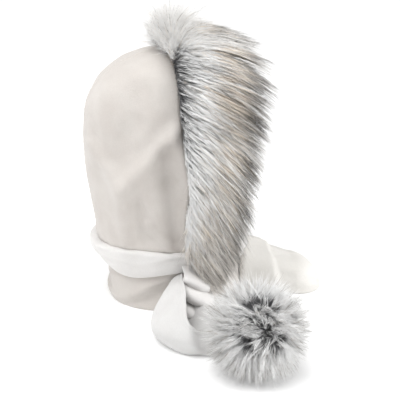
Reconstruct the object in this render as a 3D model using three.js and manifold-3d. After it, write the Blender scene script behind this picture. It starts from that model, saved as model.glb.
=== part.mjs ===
// A fleece hooded scarf with a faux fur trim, standing on a flat surface.
// Millimetres, +Z up. The face opening looks along -Y and the wearer's right is -X.

import * as THREE from 'three';
import Module from 'manifold-3d';
import { mergeVertices } from 'three/addons/utils/BufferGeometryUtils.js';

const wasm = await Module();
wasm.setup();

const WALL = 3; // thickness of the doubled fleece
const SEAT = 0.4; // clearance between two pieces that are laid together
const SEAM = 1; // clearance between the hood's edge and the fur's backing
const DEG = Math.PI / 180;

// Half sections of the hood, from the hem to the crown. A row runs from one front edge
// round the back to the other; wrap is how many degrees it goes on round the front.
const HOOD_ROWS = [
  { backY: 94, backZ: 0, wide: 77, edgeY: 0, edgeZ: 0, frontY: -86, wrap: 88 },
  { backY: 93, backZ: 22, wide: 73, edgeY: 0, edgeZ: 22, frontY: -84, wrap: 88 },
  { backY: 94, backZ: 46, wide: 69, edgeY: 0, edgeZ: 46, frontY: -82, wrap: 88 },
  { backY: 103, backZ: 72, wide: 70, edgeY: 0, edgeZ: 72, frontY: -81, wrap: 88 },
  { backY: 107, backZ: 89, wide: 73, edgeY: 1, edgeZ: 80, frontY: -80, wrap: 50 },
  { backY: 111, backZ: 110, wide: 77, edgeY: 2, edgeZ: 96, frontY: -78, wrap: 0 },
  { backY: 116, backZ: 142, wide: 81, edgeY: 0, edgeZ: 137, frontY: -78, wrap: 0 },
  { backY: 121, backZ: 176, wide: 84, edgeY: -4, edgeZ: 173, frontY: -78, wrap: 0 },
  { backY: 123, backZ: 212, wide: 84, edgeY: -1, edgeZ: 210, frontY: -78, wrap: 0 },
  { backY: 122, backZ: 246, wide: 82, edgeY: 4, edgeZ: 243, frontY: -78, wrap: 0 },
  { backY: 118, backZ: 277, wide: 79, edgeY: 8, edgeZ: 270, frontY: -78, wrap: 0 },
  { backY: 106, backZ: 303, wide: 73, edgeY: 8, edgeZ: 294, frontY: -78, wrap: 0 },
  { backY: 84, backZ: 323, wide: 62, edgeY: 8, edgeZ: 315, frontY: -78, wrap: 0 },
  { backY: 57, backZ: 334, wide: 44, edgeY: 8, edgeZ: 329, frontY: -78, wrap: 0 },
  { backY: 31, backZ: 338.5, wide: 22, edgeY: 7, edgeZ: 336, frontY: -78, wrap: 0 },
  { backY: 7, backZ: 338, wide: 0, edgeY: 7, edgeZ: 338, frontY: -78, wrap: 0 },
];
const HOOD_ROUNDNESS = 2.3; // 2 is an ellipse, more is squarer
const HOOD_STEPS_UP = 30;
const HOOD_STEPS_SIDE = 12; // columns from the back to a side
const HOOD_STEPS_FRONT = 4; // columns from a side to the front edge, in the neck
const MOST_WRAP = 88.5; // degrees past the side where a neck row stops, short of the other edge

// Soft folds in the hood's sides, each a line from one place to another, seen from the side.
const HOOD_FOLDS = [
  { fromY: 126, fromZ: 236, toY: 85, toZ: 174, rise: 3.5, reach: 12 },
  { fromY: 12, fromZ: 256, toY: 85, toZ: 174, rise: 4, reach: 13 },
  { fromY: 85, fromZ: 174, toY: 77, toZ: 96, rise: 4, reach: 11 },
  { fromY: 30, fromZ: 216, toY: 18, toZ: 150, rise: -5, reach: 17 },
  { fromY: 92, fromZ: 236, toY: 62, toZ: 262, rise: -3, reach: 18 },
  { fromY: 61, fromZ: 160, toY: 52, toZ: 112, rise: -4, reach: 14 },
  { fromY: 55, fromZ: 126, toY: 24, toZ: 92, rise: 2.5, reach: 8 },
];

// The scarf's turn round the neck, by the angle from the back to the front.
const WRAP_TURNS = [
  { angle: 0, lowZ: 50, topZ: 80, flare: 9.5 },
  { angle: 50, lowZ: 46, topZ: 84, flare: 6.5 },
  { angle: 90, lowZ: 55, topZ: 81, flare: 4 },
  { angle: 130, lowZ: 55, topZ: 80, flare: 7 },
  { angle: 180, lowZ: 50, topZ: 82, flare: 10 },
];
const WRAP_STEPS = 56;

// The scarf's right end curls out from under the wrap and round to the pompom.
// Each row is one section of the cloth: its free rim, its side, the foot that stands on
// the surface, the bed inside it, and the lip that stands up again.
const RIGHT_END = [
  { rim: [-73, 6, 52.6], side: [-73, 16, 48.4], foot: [-70.4, 22, 38], bed: [-71.4, 10, 33], lip: [-71.4, -4, 37] },
  { rim: [-94, 8, 54], side: [-97, 32, 43], foot: [-92, 38, 18], bed: [-88, 16, 12], lip: [-86, -10, 38] },
  { rim: [-124, 10, 53], side: [-131, 50, 34], foot: [-116, 50, 1], bed: [-112, 22, 0], lip: [-110, -14, 40] },
  { rim: [-152, 14, 51], side: [-160, 56, 28], foot: [-144, 50, 0], bed: [-134, 20, 0], lip: [-130, -17, 38] },
  { rim: [-180, 19, 49], side: [-190, 46, 26], foot: [-176, 38, 0], bed: [-158, 14, 0], lip: [-149, -18, 33] },
  { rim: [-197, 16, 42], side: [-208, 24, 22], foot: [-197, 22, 0], bed: [-174, 4, 0], lip: [-164, -20, 26] },
  { rim: [-200, 2, 29], side: [-211, 4, 14], foot: [-202, 2, 0], bed: [-184, -8, 0], lip: [-176, -24, 21] },
  { rim: [-205, -12, 22], side: [-214, -14, 10], foot: [-206, -16, 0], bed: [-194, -22, 0], lip: [-188, -30, 19] },
  { rim: [-213, -25, 22], side: [-218, -27, 13], foot: [-212, -33, 7], bed: [-205, -37, 8], lip: [-200, -40, 23] },
  { rim: [-228, -37, 30], side: [-232, -40, 25], foot: [-229, -46, 24], bed: [-223, -49, 28], lip: [-219, -51, 33] },
];
const RIGHT_STEPS_ALONG = 27;
const RIGHT_STEPS_ACROSS = 12;

// The scarf's left end, a puffed fold that lies forward from the wrap and ends in a round
// nose. Sweep is how far its sides are set back, to lie on the round neck.
const LEFT_END = [
  { x: 4, y: -87, half: 33, high: 46, sweep: 5 },
  { x: 3, y: -93.5, half: 37, high: 62, sweep: 6 },
  { x: 0, y: -112, half: 41, high: 57, sweep: 3 },
  { x: -8, y: -134, half: 45, high: 47, sweep: 0 },
  { x: -16, y: -154, half: 45, high: 42, sweep: 0 },
];
const LEFT_NOSE = 36; // length of the round nose past the last section
const LEFT_TUCK = 7; // how far the sides turn in under the fold
const LEFT_STEPS_ALONG = 10;
const LEFT_STEPS_NOSE = 7;
const LEFT_STEPS_ROUND = 16;

// Sections of the fur trim, from its lower end to the crown. Each place is an offset from
// the hood's front edge: outwards, forwards and down.
const FUR_SECTIONS = [
  {
    back: [8, 2, 4], side: [20, 10, 16], brow: [28, 38, 38],
    tip: [18, 54, 72], lip: [14, 36, 50], cheek: [9, 10, 20],
  },
  {
    back: [10, 1, 1], side: [26, 8, 6], brow: [34, 42, 26],
    tip: [18, 66, 58], lip: [5, 46, 36], cheek: [-1, 18, 10],
  },
  {
    back: [12, 0, 0], side: [30, 5, 2], brow: [38, 52, 16],
    tip: [18, 90, 40], lip: [-1, 60, 22], cheek: [-4, 24, 5],
  },
  {
    back: [15, -6, 0], side: [38, -4, 0], brow: [42, 50, 8],
    tip: [20, 106, 22], lip: [0, 68, 10], cheek: [-4, 25, 2],
  },
  {
    back: [17, -26, 0], side: [46, -28, 0], brow: [44, 24, 0],
    tip: [12, 100, 0], lip: [-6, 66, 0], cheek: [-6, 25, 0],
  },
];
const TRIM_FOOT = 5.2; // row of the hood where the trim starts
const FUR_LOCKS = 32; // ridges in the trim's own form
const FUR_TUFTS = 30; // pointed locks that stand out of it
const TIP_GROWTH = 2.4; // how much longer a ridge's tip is for each millimetre of its swell
const FUR_SEED = 11;

const POMPOM = { x: -253, y: -57, z: 57, core: 44, hair: 68, locks: 66 };
const POMPOM_DETAIL = 7;
const LOCK_SPREAD = 0.15; // half width of one pompom lock, in radians
const STALK_PIT = { radius: 41, spread: 0.62 }; // where the scarf end goes in, spread in radians

const FLEECE = new THREE.MeshStandardMaterial({ color: 0xf1eeea, roughness: 0.95, metalness: 0 });
const FUR = new THREE.MeshStandardMaterial({ color: 0x9a928c, roughness: 0.85, metalness: 0 });
const POMPOM_FUR = new THREE.MeshStandardMaterial({ color: 0xbdb9b6, roughness: 0.85, metalness: 0 });

// A small seeded generator, so that every build gives the same locks.
function makeRandom(seed) {
  let state = seed;
  return () => {
    state = (state * 1664525 + 1013904223) % 4294967296;
    return state / 4294967296;
  };
}

function catmullRom(a, b, c, d, t) {
  const t2 = t * t;
  const t3 = t2 * t;
  return 0.5 * (2 * b + (c - a) * t + (2 * a - 5 * b + 4 * c - d) * t2 + (3 * b - a - 3 * c + d) * t3);
}

// One column of a table at a share of the way down it, on a smooth curve through its rows.
function sample(table, share, read) {
  const place = Math.min(Math.max(share, 0), 1) * (table.length - 1);
  const row = Math.min(Math.floor(place), table.length - 2);
  const at = (index) => read(table[Math.min(Math.max(index, 0), table.length - 1)]);
  return catmullRom(at(row - 1), at(row), at(row + 1), at(row + 2), place - row);
}

function sampleRow(table, share) {
  const row = {};
  for (const column of Object.keys(table[0])) {
    row[column] = sample(table, share, (entry) => entry[column]);
  }
  return row;
}

function samplePoint(table, share, column) {
  const read = (axis) => sample(table, share, (row) => row[column][axis]);
  return new THREE.Vector3(read(0), read(1), read(2));
}

function signedPower(value, power) {
  return Math.sign(value) * Math.abs(value) ** power;
}

// Collects triangles, shares equal corners and drops triangles that have collapsed.
class Soup {
  constructor() {
    this.keys = new Map();
    this.points = [];
    this.faces = [];
  }

  corner(point) {
    const key = [point.x, point.y, point.z].map((value) => Math.round(value * 1000)).join();
    if (!this.keys.has(key)) {
      this.keys.set(key, this.points.length / 3);
      this.points.push(point.x, point.y, point.z);
    }
    return this.keys.get(key);
  }

  triangle(a, b, c) {
    const corners = [this.corner(a), this.corner(b), this.corner(c)];
    if (new Set(corners).size === 3) this.faces.push(...corners);
  }

  quad(a, b, c, d) {
    this.triangle(a, b, c);
    this.triangle(a, c, d);
  }

  geometry() {
    const geometry = new THREE.BufferGeometry();
    geometry.setAttribute('position', new THREE.Float32BufferAttribute(this.points, 3));
    geometry.setIndex(this.faces);
    geometry.computeVertexNormals();
    return geometry;
  }
}

function gridNormals(grid) {
  const rows = grid.length;
  const columns = grid[0].length;
  return grid.map((line, i) => line.map((point, j) => {
    const up = grid[Math.min(i + 1, rows - 1)][j].clone().sub(grid[Math.max(i - 1, 0)][j]);
    const along = line[Math.min(j + 1, columns - 1)].clone().sub(line[Math.max(j - 1, 0)]);
    return along.cross(up).normalize();
  }));
}

// A closed wall from a grid of outer points and the matching inner ones.
function wallGeometry(outer, inner) {
  const soup = new Soup();
  const lastRow = outer.length - 1;
  const lastColumn = outer[0].length - 1;
  for (let i = 0; i < lastRow; i += 1) {
    for (let j = 0; j < lastColumn; j += 1) {
      soup.quad(outer[i][j], outer[i][j + 1], outer[i + 1][j + 1], outer[i + 1][j]);
      soup.quad(inner[i][j], inner[i + 1][j], inner[i + 1][j + 1], inner[i][j + 1]);
    }
    soup.quad(outer[i][0], outer[i + 1][0], inner[i + 1][0], inner[i][0]);
    soup.quad(outer[i + 1][lastColumn], outer[i][lastColumn], inner[i][lastColumn], inner[i + 1][lastColumn]);
  }
  for (let j = 0; j < lastColumn; j += 1) {
    soup.quad(outer[0][j + 1], outer[0][j], inner[0][j], inner[0][j + 1]);
    soup.quad(outer[lastRow][j], outer[lastRow][j + 1], inner[lastRow][j + 1], inner[lastRow][j]);
  }
  return soup.geometry();
}

// A loft through closed sections; it closes on itself, or each end closes on its middle.
function loftGeometry(sections, ring) {
  const soup = new Soup();
  const count = sections.length;
  const sides = sections[0].length;
  const steps = ring ? count : count - 1;
  for (let i = 0; i < steps; i += 1) {
    const here = sections[i];
    const next = sections[(i + 1) % count];
    for (let j = 0; j < sides; j += 1) {
      const k = (j + 1) % sides;
      soup.quad(here[j], here[k], next[k], next[j]);
    }
  }
  if (!ring) {
    for (const [section, forwards] of [[sections[0], false], [sections[count - 1], true]]) {
      const middle = new THREE.Vector3();
      section.forEach((point) => middle.addScaledVector(point, 1 / sides));
      for (let j = 0; j < sides; j += 1) {
        const k = (j + 1) % sides;
        if (forwards) soup.triangle(section[j], section[k], middle);
        else soup.triangle(section[k], section[j], middle);
      }
    }
  }
  return soup.geometry();
}

function foldRise(x, y, z, wide) {
  let rise = 0;
  for (const fold of HOOD_FOLDS) {
    const runY = fold.toY - fold.fromY;
    const runZ = fold.toZ - fold.fromZ;
    const along = ((y - fold.fromY) * runY + (z - fold.fromZ) * runZ) / (runY * runY + runZ * runZ);
    const share = Math.min(Math.max(along, 0), 1);
    const gap = Math.hypot(y - fold.fromY - share * runY, z - fold.fromZ - share * runZ);
    rise += fold.rise * Math.exp(-((gap / fold.reach) ** 2));
  }
  return rise * Math.min(1, Math.abs(x) / (0.5 * wide + 1));
}

// A point of the hood's outer face on one row, at an angle from the back.
function rowPoint(row, angle) {
  const power = 2 / HOOD_ROUNDNESS;
  const side = signedPower(Math.sin(angle), power);
  const depth = signedPower(Math.cos(angle), power);
  const reach = depth > 0 ? row.backY - row.edgeY : row.edgeY - row.frontY;
  const wide = Math.max(row.wide, 0);
  const y = row.edgeY + reach * depth;
  const z = row.edgeZ + (row.backZ - row.edgeZ) * Math.max(depth, 0);
  const rise = foldRise(wide * side, y, z, wide);
  return new THREE.Vector3((wide + rise) * side, y + rise * 0.5 * depth, z);
}

// How far a row goes on round the front, past the sides.
function rowWrap(row) {
  return Math.min(Math.max(row.wrap, 0), MOST_WRAP);
}

// Up runs from hem to crown. Turn is 0 at the back and 1 at the far side, and goes on to 2
// at the far front edge; the near side is the same with a minus sign.
function hoodPoint(up, turn) {
  const row = sampleRow(HOOD_ROWS, up);
  const past = Math.max(Math.abs(turn) - 1, 0);
  const angle = Math.min(Math.abs(turn), 1) * 90 + past * rowWrap(row);
  return rowPoint(row, Math.sign(turn) * angle * DEG);
}

// Turns from the far front edge round the back to the near one.
function hoodTurns() {
  const half = [];
  for (let j = 0; j < HOOD_STEPS_SIDE; j += 1) half.push(j / HOOD_STEPS_SIDE);
  for (let j = 0; j <= HOOD_STEPS_FRONT; j += 1) half.push(1 + j / HOOD_STEPS_FRONT);
  return [...half.slice(1).reverse(), ...half.map((turn) => -turn)];
}

function buildHood() {
  const turns = hoodTurns();
  const outer = [];
  for (let i = 0; i <= HOOD_STEPS_UP; i += 1) {
    outer.push(turns.map((turn) => hoodPoint(i / HOOD_STEPS_UP, turn)));
  }
  const normals = gridNormals(outer);
  const farSide = turns.indexOf(1);
  const nearSide = turns.indexOf(-1);
  const inner = outer.map((line, i) => {
    const open = rowWrap(sampleRow(HOOD_ROWS, i / HOOD_STEPS_UP)) === 0;
    return line.map((point, j) => {
      const column = open ? Math.min(Math.max(j, farSide), nearSide) : j;
      const normal = normals[i][column].clone();
      if (i === 0) normal.setZ(0).normalize();
      if (i === HOOD_STEPS_UP) normal.set(0, 0, 1);
      return point.clone().addScaledVector(normal, -WALL);
    });
  });
  return wallGeometry(outer, inner);
}

// The hood's outer face at a height and an angle from the back, on its built facets.
function neckPoint(height, angle) {
  const facet = (step) => {
    const row = sampleRow(HOOD_ROWS, step / HOOD_STEPS_UP);
    return rowPoint(row, angle * DEG);
  };
  let step = 0;
  while (facet(step + 1).z < height) step += 1;
  const below = facet(step);
  const above = facet(step + 1);
  return below.lerp(above, (height - below.z) / (above.z - below.z));
}

// The band's section: how far out from the neck and how far up its height each corner is.
const WRAP_PROFILE = [
  { out: 0, up: 0.04, flare: 0 },
  { out: 1.5, up: -0.06, flare: 0 },
  { out: 4, up: -0.05, flare: 0 },
  { out: 5.5, up: 0.1, flare: 0.1 },
  { out: 5, up: 0.42, flare: 0.5 },
  { out: 4, up: 0.75, flare: 0.85 },
  { out: 3, up: 0.97, flare: 1 },
  { out: 1.2, up: 1, flare: 1 },
  { out: 0, up: 0.95, flare: 0.95 },
  { out: 1, up: 0.62, flare: 0.6 },
  { out: 2, up: 0.3, flare: 0.2 },
];

function buildWrap() {
  const sections = [];
  for (let i = 0; i < WRAP_STEPS; i += 1) {
    const angle = 360 * i / WRAP_STEPS;
    const turn = sampleRow(WRAP_TURNS, Math.min(angle, 360 - angle) / 180);
    const outward = new THREE.Vector3(Math.sin(angle * DEG), Math.cos(angle * DEG), 0);
    sections.push(WRAP_PROFILE.map((corner) => {
      const height = turn.lowZ + corner.up * (turn.topZ - turn.lowZ);
      const neck = neckPoint(height, angle);
      return neck.addScaledVector(outward, SEAT + corner.out + corner.flare * turn.flare);
    }));
  }
  return loftGeometry(sections, true);
}

function rightEndPoint(along, across) {
  const columns = Object.keys(RIGHT_END[0]);
  const section = columns.map((column) => ({ at: samplePoint(RIGHT_END, along, column) }));
  const read = (axis) => sample(section, across, (row) => row.at.getComponent(axis));
  return new THREE.Vector3(read(0), read(1), Math.max(read(2), 0));
}

function buildRightEnd() {
  const outer = [];
  for (let i = 0; i <= RIGHT_STEPS_ALONG; i += 1) {
    const line = [];
    for (let j = 0; j <= RIGHT_STEPS_ACROSS; j += 1) {
      line.push(rightEndPoint(i / RIGHT_STEPS_ALONG, j / RIGHT_STEPS_ACROSS));
    }
    outer.push(line);
  }
  const normals = gridNormals(outer);
  const inner = outer.map((line, i) => line.map((point, j) => {
    const moved = point.clone().addScaledVector(normals[i][j], -WALL);
    if (point.z === 0) moved.setZ(Math.max(moved.z, WALL * 0.6));
    return moved;
  }));
  return wallGeometry(outer, inner);
}

// A point of the left end's outer face: along from the wrap to the nose, round from the
// far side on the surface over the top to the near side.
function leftEndPoint(along, round, shrink) {
  const nose = Math.max(along - 1, 0);
  const row = sampleRow(LEFT_END, Math.min(along, 1));
  const taper = Math.sqrt(Math.max(1 - nose * nose, 0));
  const angle = round * Math.PI;
  const half = row.half * taper - shrink;
  const high = row.high * taper - shrink;
  const tuck = LEFT_TUCK * taper * (1 - Math.sin(angle)) ** 2;
  const side = Math.cos(angle) * Math.max(half - tuck, 0);
  const lean = nose * LEFT_NOSE;
  const forward = Math.max(lean - shrink * nose, 0);
  const back = row.sweep * (side / row.half) ** 2;
  const height = Math.max(high, 0) * Math.sin(angle) ** 0.8;
  return new THREE.Vector3(row.x + side - 0.25 * forward, row.y + back - forward, height);
}

function buildLeftEnd() {
  const shares = [];
  for (let i = 0; i < LEFT_STEPS_ALONG; i += 1) shares.push(i / LEFT_STEPS_ALONG);
  for (let i = 0; i <= LEFT_STEPS_NOSE; i += 1) {
    shares.push(1 + Math.sin((i / LEFT_STEPS_NOSE) * 90 * DEG));
  }
  const face = (shrink) => shares.map((along) => {
    const line = [];
    for (let j = 0; j <= LEFT_STEPS_ROUND; j += 1) {
      line.push(leftEndPoint(along, j / LEFT_STEPS_ROUND, shrink));
    }
    return line;
  });
  return wallGeometry(face(0), face(WALL));
}

// The hood's front edge on the near side and the outward direction there.
function edgePlace(share) {
  const low = TRIM_FOOT / (HOOD_ROWS.length - 1);
  const up = low + share * (1 - low);
  const here = hoodPoint(up, -2);
  const after = hoodPoint(Math.min(up + 0.01, 1), -2);
  const before = hoodPoint(up - 0.01, -2);
  const run = after.sub(before).setY(0).normalize();
  return { here, outward: new THREE.Vector3(-run.z, 0, run.x) };
}

const SWELL = { back: 0.2, side: 0.6, brow: 1 }; // how far a ridge of the trim lifts each place

// One section of the trim. Across is -1 at the near lower end, 0 at the crown and 1 at the
// far lower end; swell lifts the outer face and lengthens the tip.
function furSection(across, swell) {
  const share = 1 - Math.abs(across);
  const { here, outward } = edgePlace(Math.min(share, 0.999));
  if (share > 0.93) outward.lerp(new THREE.Vector3(0, 0, 1), (share - 0.93) / 0.07).normalize();
  const place = (out, forward, down) => {
    const point = here.clone().addScaledVector(outward, out);
    return point.add(new THREE.Vector3(0, -forward, -down));
  };
  const section = [place(1, SEAM, 0)];
  for (const name of Object.keys(FUR_SECTIONS[0])) {
    const offset = samplePoint(FUR_SECTIONS, share, name);
    const longer = name === 'tip' ? TIP_GROWTH * swell : 0;
    const lift = (SWELL[name] ?? 0) * swell;
    section.push(place(offset.x + lift, offset.y + longer, offset.z + 0.4 * longer));
  }
  section.push(place(-2, SEAM, 0));
  if (across > 0) section.forEach((point) => { point.x = -point.x; });
  return section;
}

// A closed tapered lock from its root along a direction, bent towards the ground.
function lockGeometry(root, direction, length, radius) {
  const sections = [];
  const across = new THREE.Vector3(0, 0, 1).cross(direction).normalize();
  const over = direction.clone().cross(across);
  for (const [along, width] of [[0, 0.7], [0.3, 1], [0.7, 0.6], [1, 0.05]]) {
    const middle = root.clone().addScaledVector(direction, along * length);
    middle.z -= 0.12 * length * along * along;
    const section = [];
    for (let j = 0; j < 5; j += 1) {
      const angle = (j / 5) * 2 * Math.PI;
      const point = middle.clone().addScaledVector(across, Math.cos(angle) * radius * width);
      section.push(point.addScaledVector(over, Math.sin(angle) * radius * width));
    }
    sections.push(section);
  }
  return loftGeometry(sections, false);
}

function toSolid(geometry) {
  const bare = geometry.clone();
  bare.deleteAttribute('normal');
  const merged = mergeVertices(bare, 1e-4);
  return new wasm.Manifold(new wasm.Mesh({
    numProp: 3,
    vertProperties: new Float32Array(merged.attributes.position.array),
    triVerts: new Uint32Array(merged.index.array),
  }));
}

function fromSolid(solid) {
  const mesh = solid.getMesh();
  const geometry = new THREE.BufferGeometry();
  geometry.setAttribute('position', new THREE.BufferAttribute(mesh.vertProperties, 3));
  geometry.setIndex(new THREE.BufferAttribute(mesh.triVerts, 1));
  geometry.computeVertexNormals();
  return geometry;
}

function buildFur() {
  const random = makeRandom(FUR_SEED);
  const sections = [];
  const steps = FUR_LOCKS * 2;
  for (let i = 0; i <= steps; i += 1) {
    const across = 2 * i / steps - 1;
    const swell = i % 2 === 1 ? 2.5 + 2 * random() : -2 - 2 * random();
    sections.push(furSection(across, swell));
  }
  let fur = toSolid(loftGeometry(sections, false));
  for (let i = 0; i < FUR_TUFTS; i += 1) {
    const across = 1.84 * ((i + 0.5) / FUR_TUFTS) - 0.92;
    const [, back, side, brow, tip] = furSection(across, 0);
    const forward = ((i * 7) % FUR_TUFTS) / FUR_TUFTS;
    const root = side.clone().lerp(brow, forward * 0.8);
    const aim = tip.clone().sub(side).normalize();
    aim.addScaledVector(side.clone().sub(back).normalize(), 0.45).normalize();
    const crown = 1 - Math.min(Math.abs(across) / 0.3, 1);
    const standing = new THREE.Vector3(0.3 * Math.sign(across), 0.3, 1);
    aim.lerp(standing, crown * (1 - forward) * 0.9).normalize();
    root.addScaledVector(aim, -14);
    fur = fur.add(toSolid(lockGeometry(root, aim, 38 + 12 * random(), 6)));
  }
  return fromSolid(fur);
}

// Evenly spread directions on a ball.
function spread(count) {
  const golden = Math.PI * (3 - Math.sqrt(5));
  return Array.from({ length: count }, (unused, i) => {
    const z = 1 - 2 * (i + 0.5) / count;
    const flat = Math.sqrt(1 - z * z);
    return new THREE.Vector3(flat * Math.cos(i * golden), flat * Math.sin(i * golden), z);
  });
}

function buildPompom() {
  const centre = new THREE.Vector3(POMPOM.x, POMPOM.y, POMPOM.z);
  const stalk = rightEndPoint(1, 0.5).sub(centre).normalize();
  const facets = new THREE.IcosahedronGeometry(1, POMPOM_DETAIL);
  facets.deleteAttribute('normal').deleteAttribute('uv');
  const ball = mergeVertices(facets, 1e-4);
  const locks = spread(POMPOM.locks);
  const position = ball.attributes.position;
  const point = new THREE.Vector3();
  for (let i = 0; i < position.count; i += 1) {
    point.fromBufferAttribute(position, i).normalize();
    const nearest = Math.max(...locks.map((lock) => lock.dot(point)));
    const peak = Math.exp(-((Math.acos(Math.min(nearest, 1)) / LOCK_SPREAD) ** 2));
    const atStalk = Math.acos(Math.min(stalk.dot(point), 1)) < STALK_PIT.spread;
    const radius = atStalk ? STALK_PIT.radius : POMPOM.core + (POMPOM.hair - POMPOM.core) * peak;
    point.multiplyScalar(radius).add(centre);
    position.setXYZ(i, point.x, point.y, Math.max(point.z, 0));
  }
  ball.computeVertexNormals();
  return ball;
}

const group = new THREE.Group();
const pieces = [
  ['hood', buildHood(), FLEECE],
  ['scarf_wrap', buildWrap(), FLEECE],
  ['scarf_end_right', buildRightEnd(), FLEECE],
  ['scarf_end_left', buildLeftEnd(), FLEECE],
  ['fur_trim', buildFur(), FUR],
  ['pompom', buildPompom(), POMPOM_FUR],
];
for (const [name, geometry, material] of pieces) {
  const mesh = new THREE.Mesh(geometry, material);
  mesh.name = name;
  group.add(mesh);
}

// The origin goes under the middle of the whole piece, on the surface that it stands on.
const bounds = new THREE.Box3().setFromObject(group);
const middle = bounds.getCenter(new THREE.Vector3());
group.children.forEach((mesh) => mesh.position.set(-middle.x, -middle.y, -bounds.min.z));

export default group;
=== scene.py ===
# %% [markdown]
# # A fleece hooded scarf with a faux fur trim
# The real thing is sewn from soft white fleece: a hood, a scarf that is turned once round
# the neck, and two scarf ends that lie on the table. Long faux fur edges the face opening,
# and a fur pompom closes one scarf end. The measured frame comes first, because every
# piece below is made to lie exactly where its solid lies.

# %% Load the frame
import math
import bpy
import numpy as np
from mathutils import Matrix, Vector, noise


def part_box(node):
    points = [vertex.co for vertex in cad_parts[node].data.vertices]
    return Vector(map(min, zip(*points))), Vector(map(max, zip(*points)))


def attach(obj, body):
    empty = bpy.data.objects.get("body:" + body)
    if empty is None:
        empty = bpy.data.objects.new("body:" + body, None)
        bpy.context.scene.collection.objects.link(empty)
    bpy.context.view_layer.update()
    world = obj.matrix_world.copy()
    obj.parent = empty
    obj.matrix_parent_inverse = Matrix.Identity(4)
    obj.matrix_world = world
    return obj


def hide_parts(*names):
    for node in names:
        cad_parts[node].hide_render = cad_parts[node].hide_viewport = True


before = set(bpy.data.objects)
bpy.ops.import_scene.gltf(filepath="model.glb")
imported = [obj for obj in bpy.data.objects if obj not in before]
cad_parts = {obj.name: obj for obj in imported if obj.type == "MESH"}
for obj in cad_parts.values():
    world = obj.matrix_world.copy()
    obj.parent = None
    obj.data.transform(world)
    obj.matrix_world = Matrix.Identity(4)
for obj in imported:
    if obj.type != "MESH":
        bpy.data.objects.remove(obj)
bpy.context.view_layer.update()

print("nodes:", sorted(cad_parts))

# %% [markdown]
# ## One place to measure from
# The shapes are written in millimetres round the middle of the neck, as a pattern cutter
# would measure them. The hood's own box says where that middle is in the frame.

# %% Millimetres round the neck, and metres in the frame
MM = 0.001
HOOD_BACK = 123  # the hood's furthest place behind the middle of the neck

hood_low, hood_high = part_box("hood")
NECK = np.array([
    (hood_low.x + hood_high.x) / 2, hood_high.y - HOOD_BACK * MM, hood_low.z,
])


def to_frame(points):
    return np.asarray(points, float) * MM + NECK


def deselect():
    bpy.ops.object.select_all(action="DESELECT")


def take_new(name):
    """Names the object that an operator has just made."""
    piece = bpy.context.object
    piece.name = piece.data.name = name
    return piece


print("middle of the neck:", NECK.round(4))

# %% [markdown]
# ## Camera
# The photograph looks at the wearer's right side from a little behind and well above, from
# about two metres away with a long lens. The camera's own axes are built from the two
# angles, and the eye is put where the foot of the neck falls on the right pixel.

# %% Camera
SIDE_TURN = math.radians(10)
LOOK_DOWN = math.radians(22.5)
DISTANCE = 1.9
METRES_PER_PIXEL = 0.001383  # at the middle of the neck
FRAME_PIXELS = 400
SENSOR = 36
NECK_PIXEL = (178, 285)

back = Vector((
    -math.cos(SIDE_TURN) * math.cos(LOOK_DOWN),
    math.sin(SIDE_TURN) * math.cos(LOOK_DOWN),
    math.sin(LOOK_DOWN),
))
right = Vector((-math.sin(SIDE_TURN), -math.cos(SIDE_TURN), 0))
above = right.cross(-back)
eye = Vector(NECK) + back * DISTANCE
eye -= right * (NECK_PIXEL[0] - FRAME_PIXELS / 2) * METRES_PER_PIXEL
eye -= above * (FRAME_PIXELS / 2 - NECK_PIXEL[1]) * METRES_PER_PIXEL

deselect()
bpy.ops.object.camera_add()
camera = take_new("camera")
camera.matrix_world = Matrix((
    (right.x, above.x, back.x, eye.x),
    (right.y, above.y, back.y, eye.y),
    (right.z, above.z, back.z, eye.z),
    (0, 0, 0, 1),
))
camera.data.sensor_width = SENSOR
camera.data.lens = DISTANCE / METRES_PER_PIXEL / FRAME_PIXELS * SENSOR
camera.data.clip_end = 100
bpy.context.scene.camera = camera
print("lens:", round(camera.data.lens, 1), "mm")

# %% [markdown]
# ## Light
# A photograph of something white needs a big soft light, so that the folds show only as
# faint greys. The sky gives an even fill, and one large softbox overhead gives the folds a
# light side. A low lamp in front lights the fur and the scarf's ends, and a weak one behind
# the back seam rounds the hood. A small soft spot reaches under the fur to the neck, which
# the hood shades from above.

# %% Light
SKY = 0.47
# name, place, size, power
SOFTBOXES = (
    ("softbox", (-0.45, 0.7, 3.05), 3.0, 92),
    ("fill", (-1.0, -2.8, 1.5), 2.0, 44),
    ("side", (0.5, 2.8, 1.3), 1.6, 15),
)
HOOD_MIDDLE = (0, 0, 0.15)
SPOT_PLACE = (-0.9, -0.75, 0.5)
SPOT_AIM = (-0.09, -0.07, 0.13)
SPOT_SIZE = 0.2
SPOT_POWER = 16
SPOT_CONE = math.radians(26)


def add_lamp(kind, name, place, aim, power):
    """Makes a lamp and gives its data, for the settings that only its kind has."""
    deselect()
    bpy.ops.object.light_add(type=kind, location=place)
    lamp = take_new(name)
    lamp.data.energy = power
    direction = Vector(aim) - Vector(place)
    lamp.rotation_euler = direction.to_track_quat("-Z", "Y").to_euler()
    return lamp.data


for name, place, size, power in SOFTBOXES:
    add_lamp("AREA", name, place, HOOD_MIDDLE, power).size = size
spot = add_lamp("SPOT", "low_spot", SPOT_PLACE, SPOT_AIM, SPOT_POWER)
spot.spot_size = SPOT_CONE
spot.spot_blend = 1
spot.shadow_soft_size = SPOT_SIZE

world = bpy.data.worlds.new("studio")
bpy.context.scene.world = world
world.use_nodes = True
sky = world.node_tree.nodes["Background"]
sky.inputs["Color"].default_value = (1, 1, 1, 1)
sky.inputs["Strength"].default_value = SKY
bpy.context.scene.view_settings.view_transform = "Standard"
print("lamps:", len(SOFTBOXES) + 1)
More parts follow.
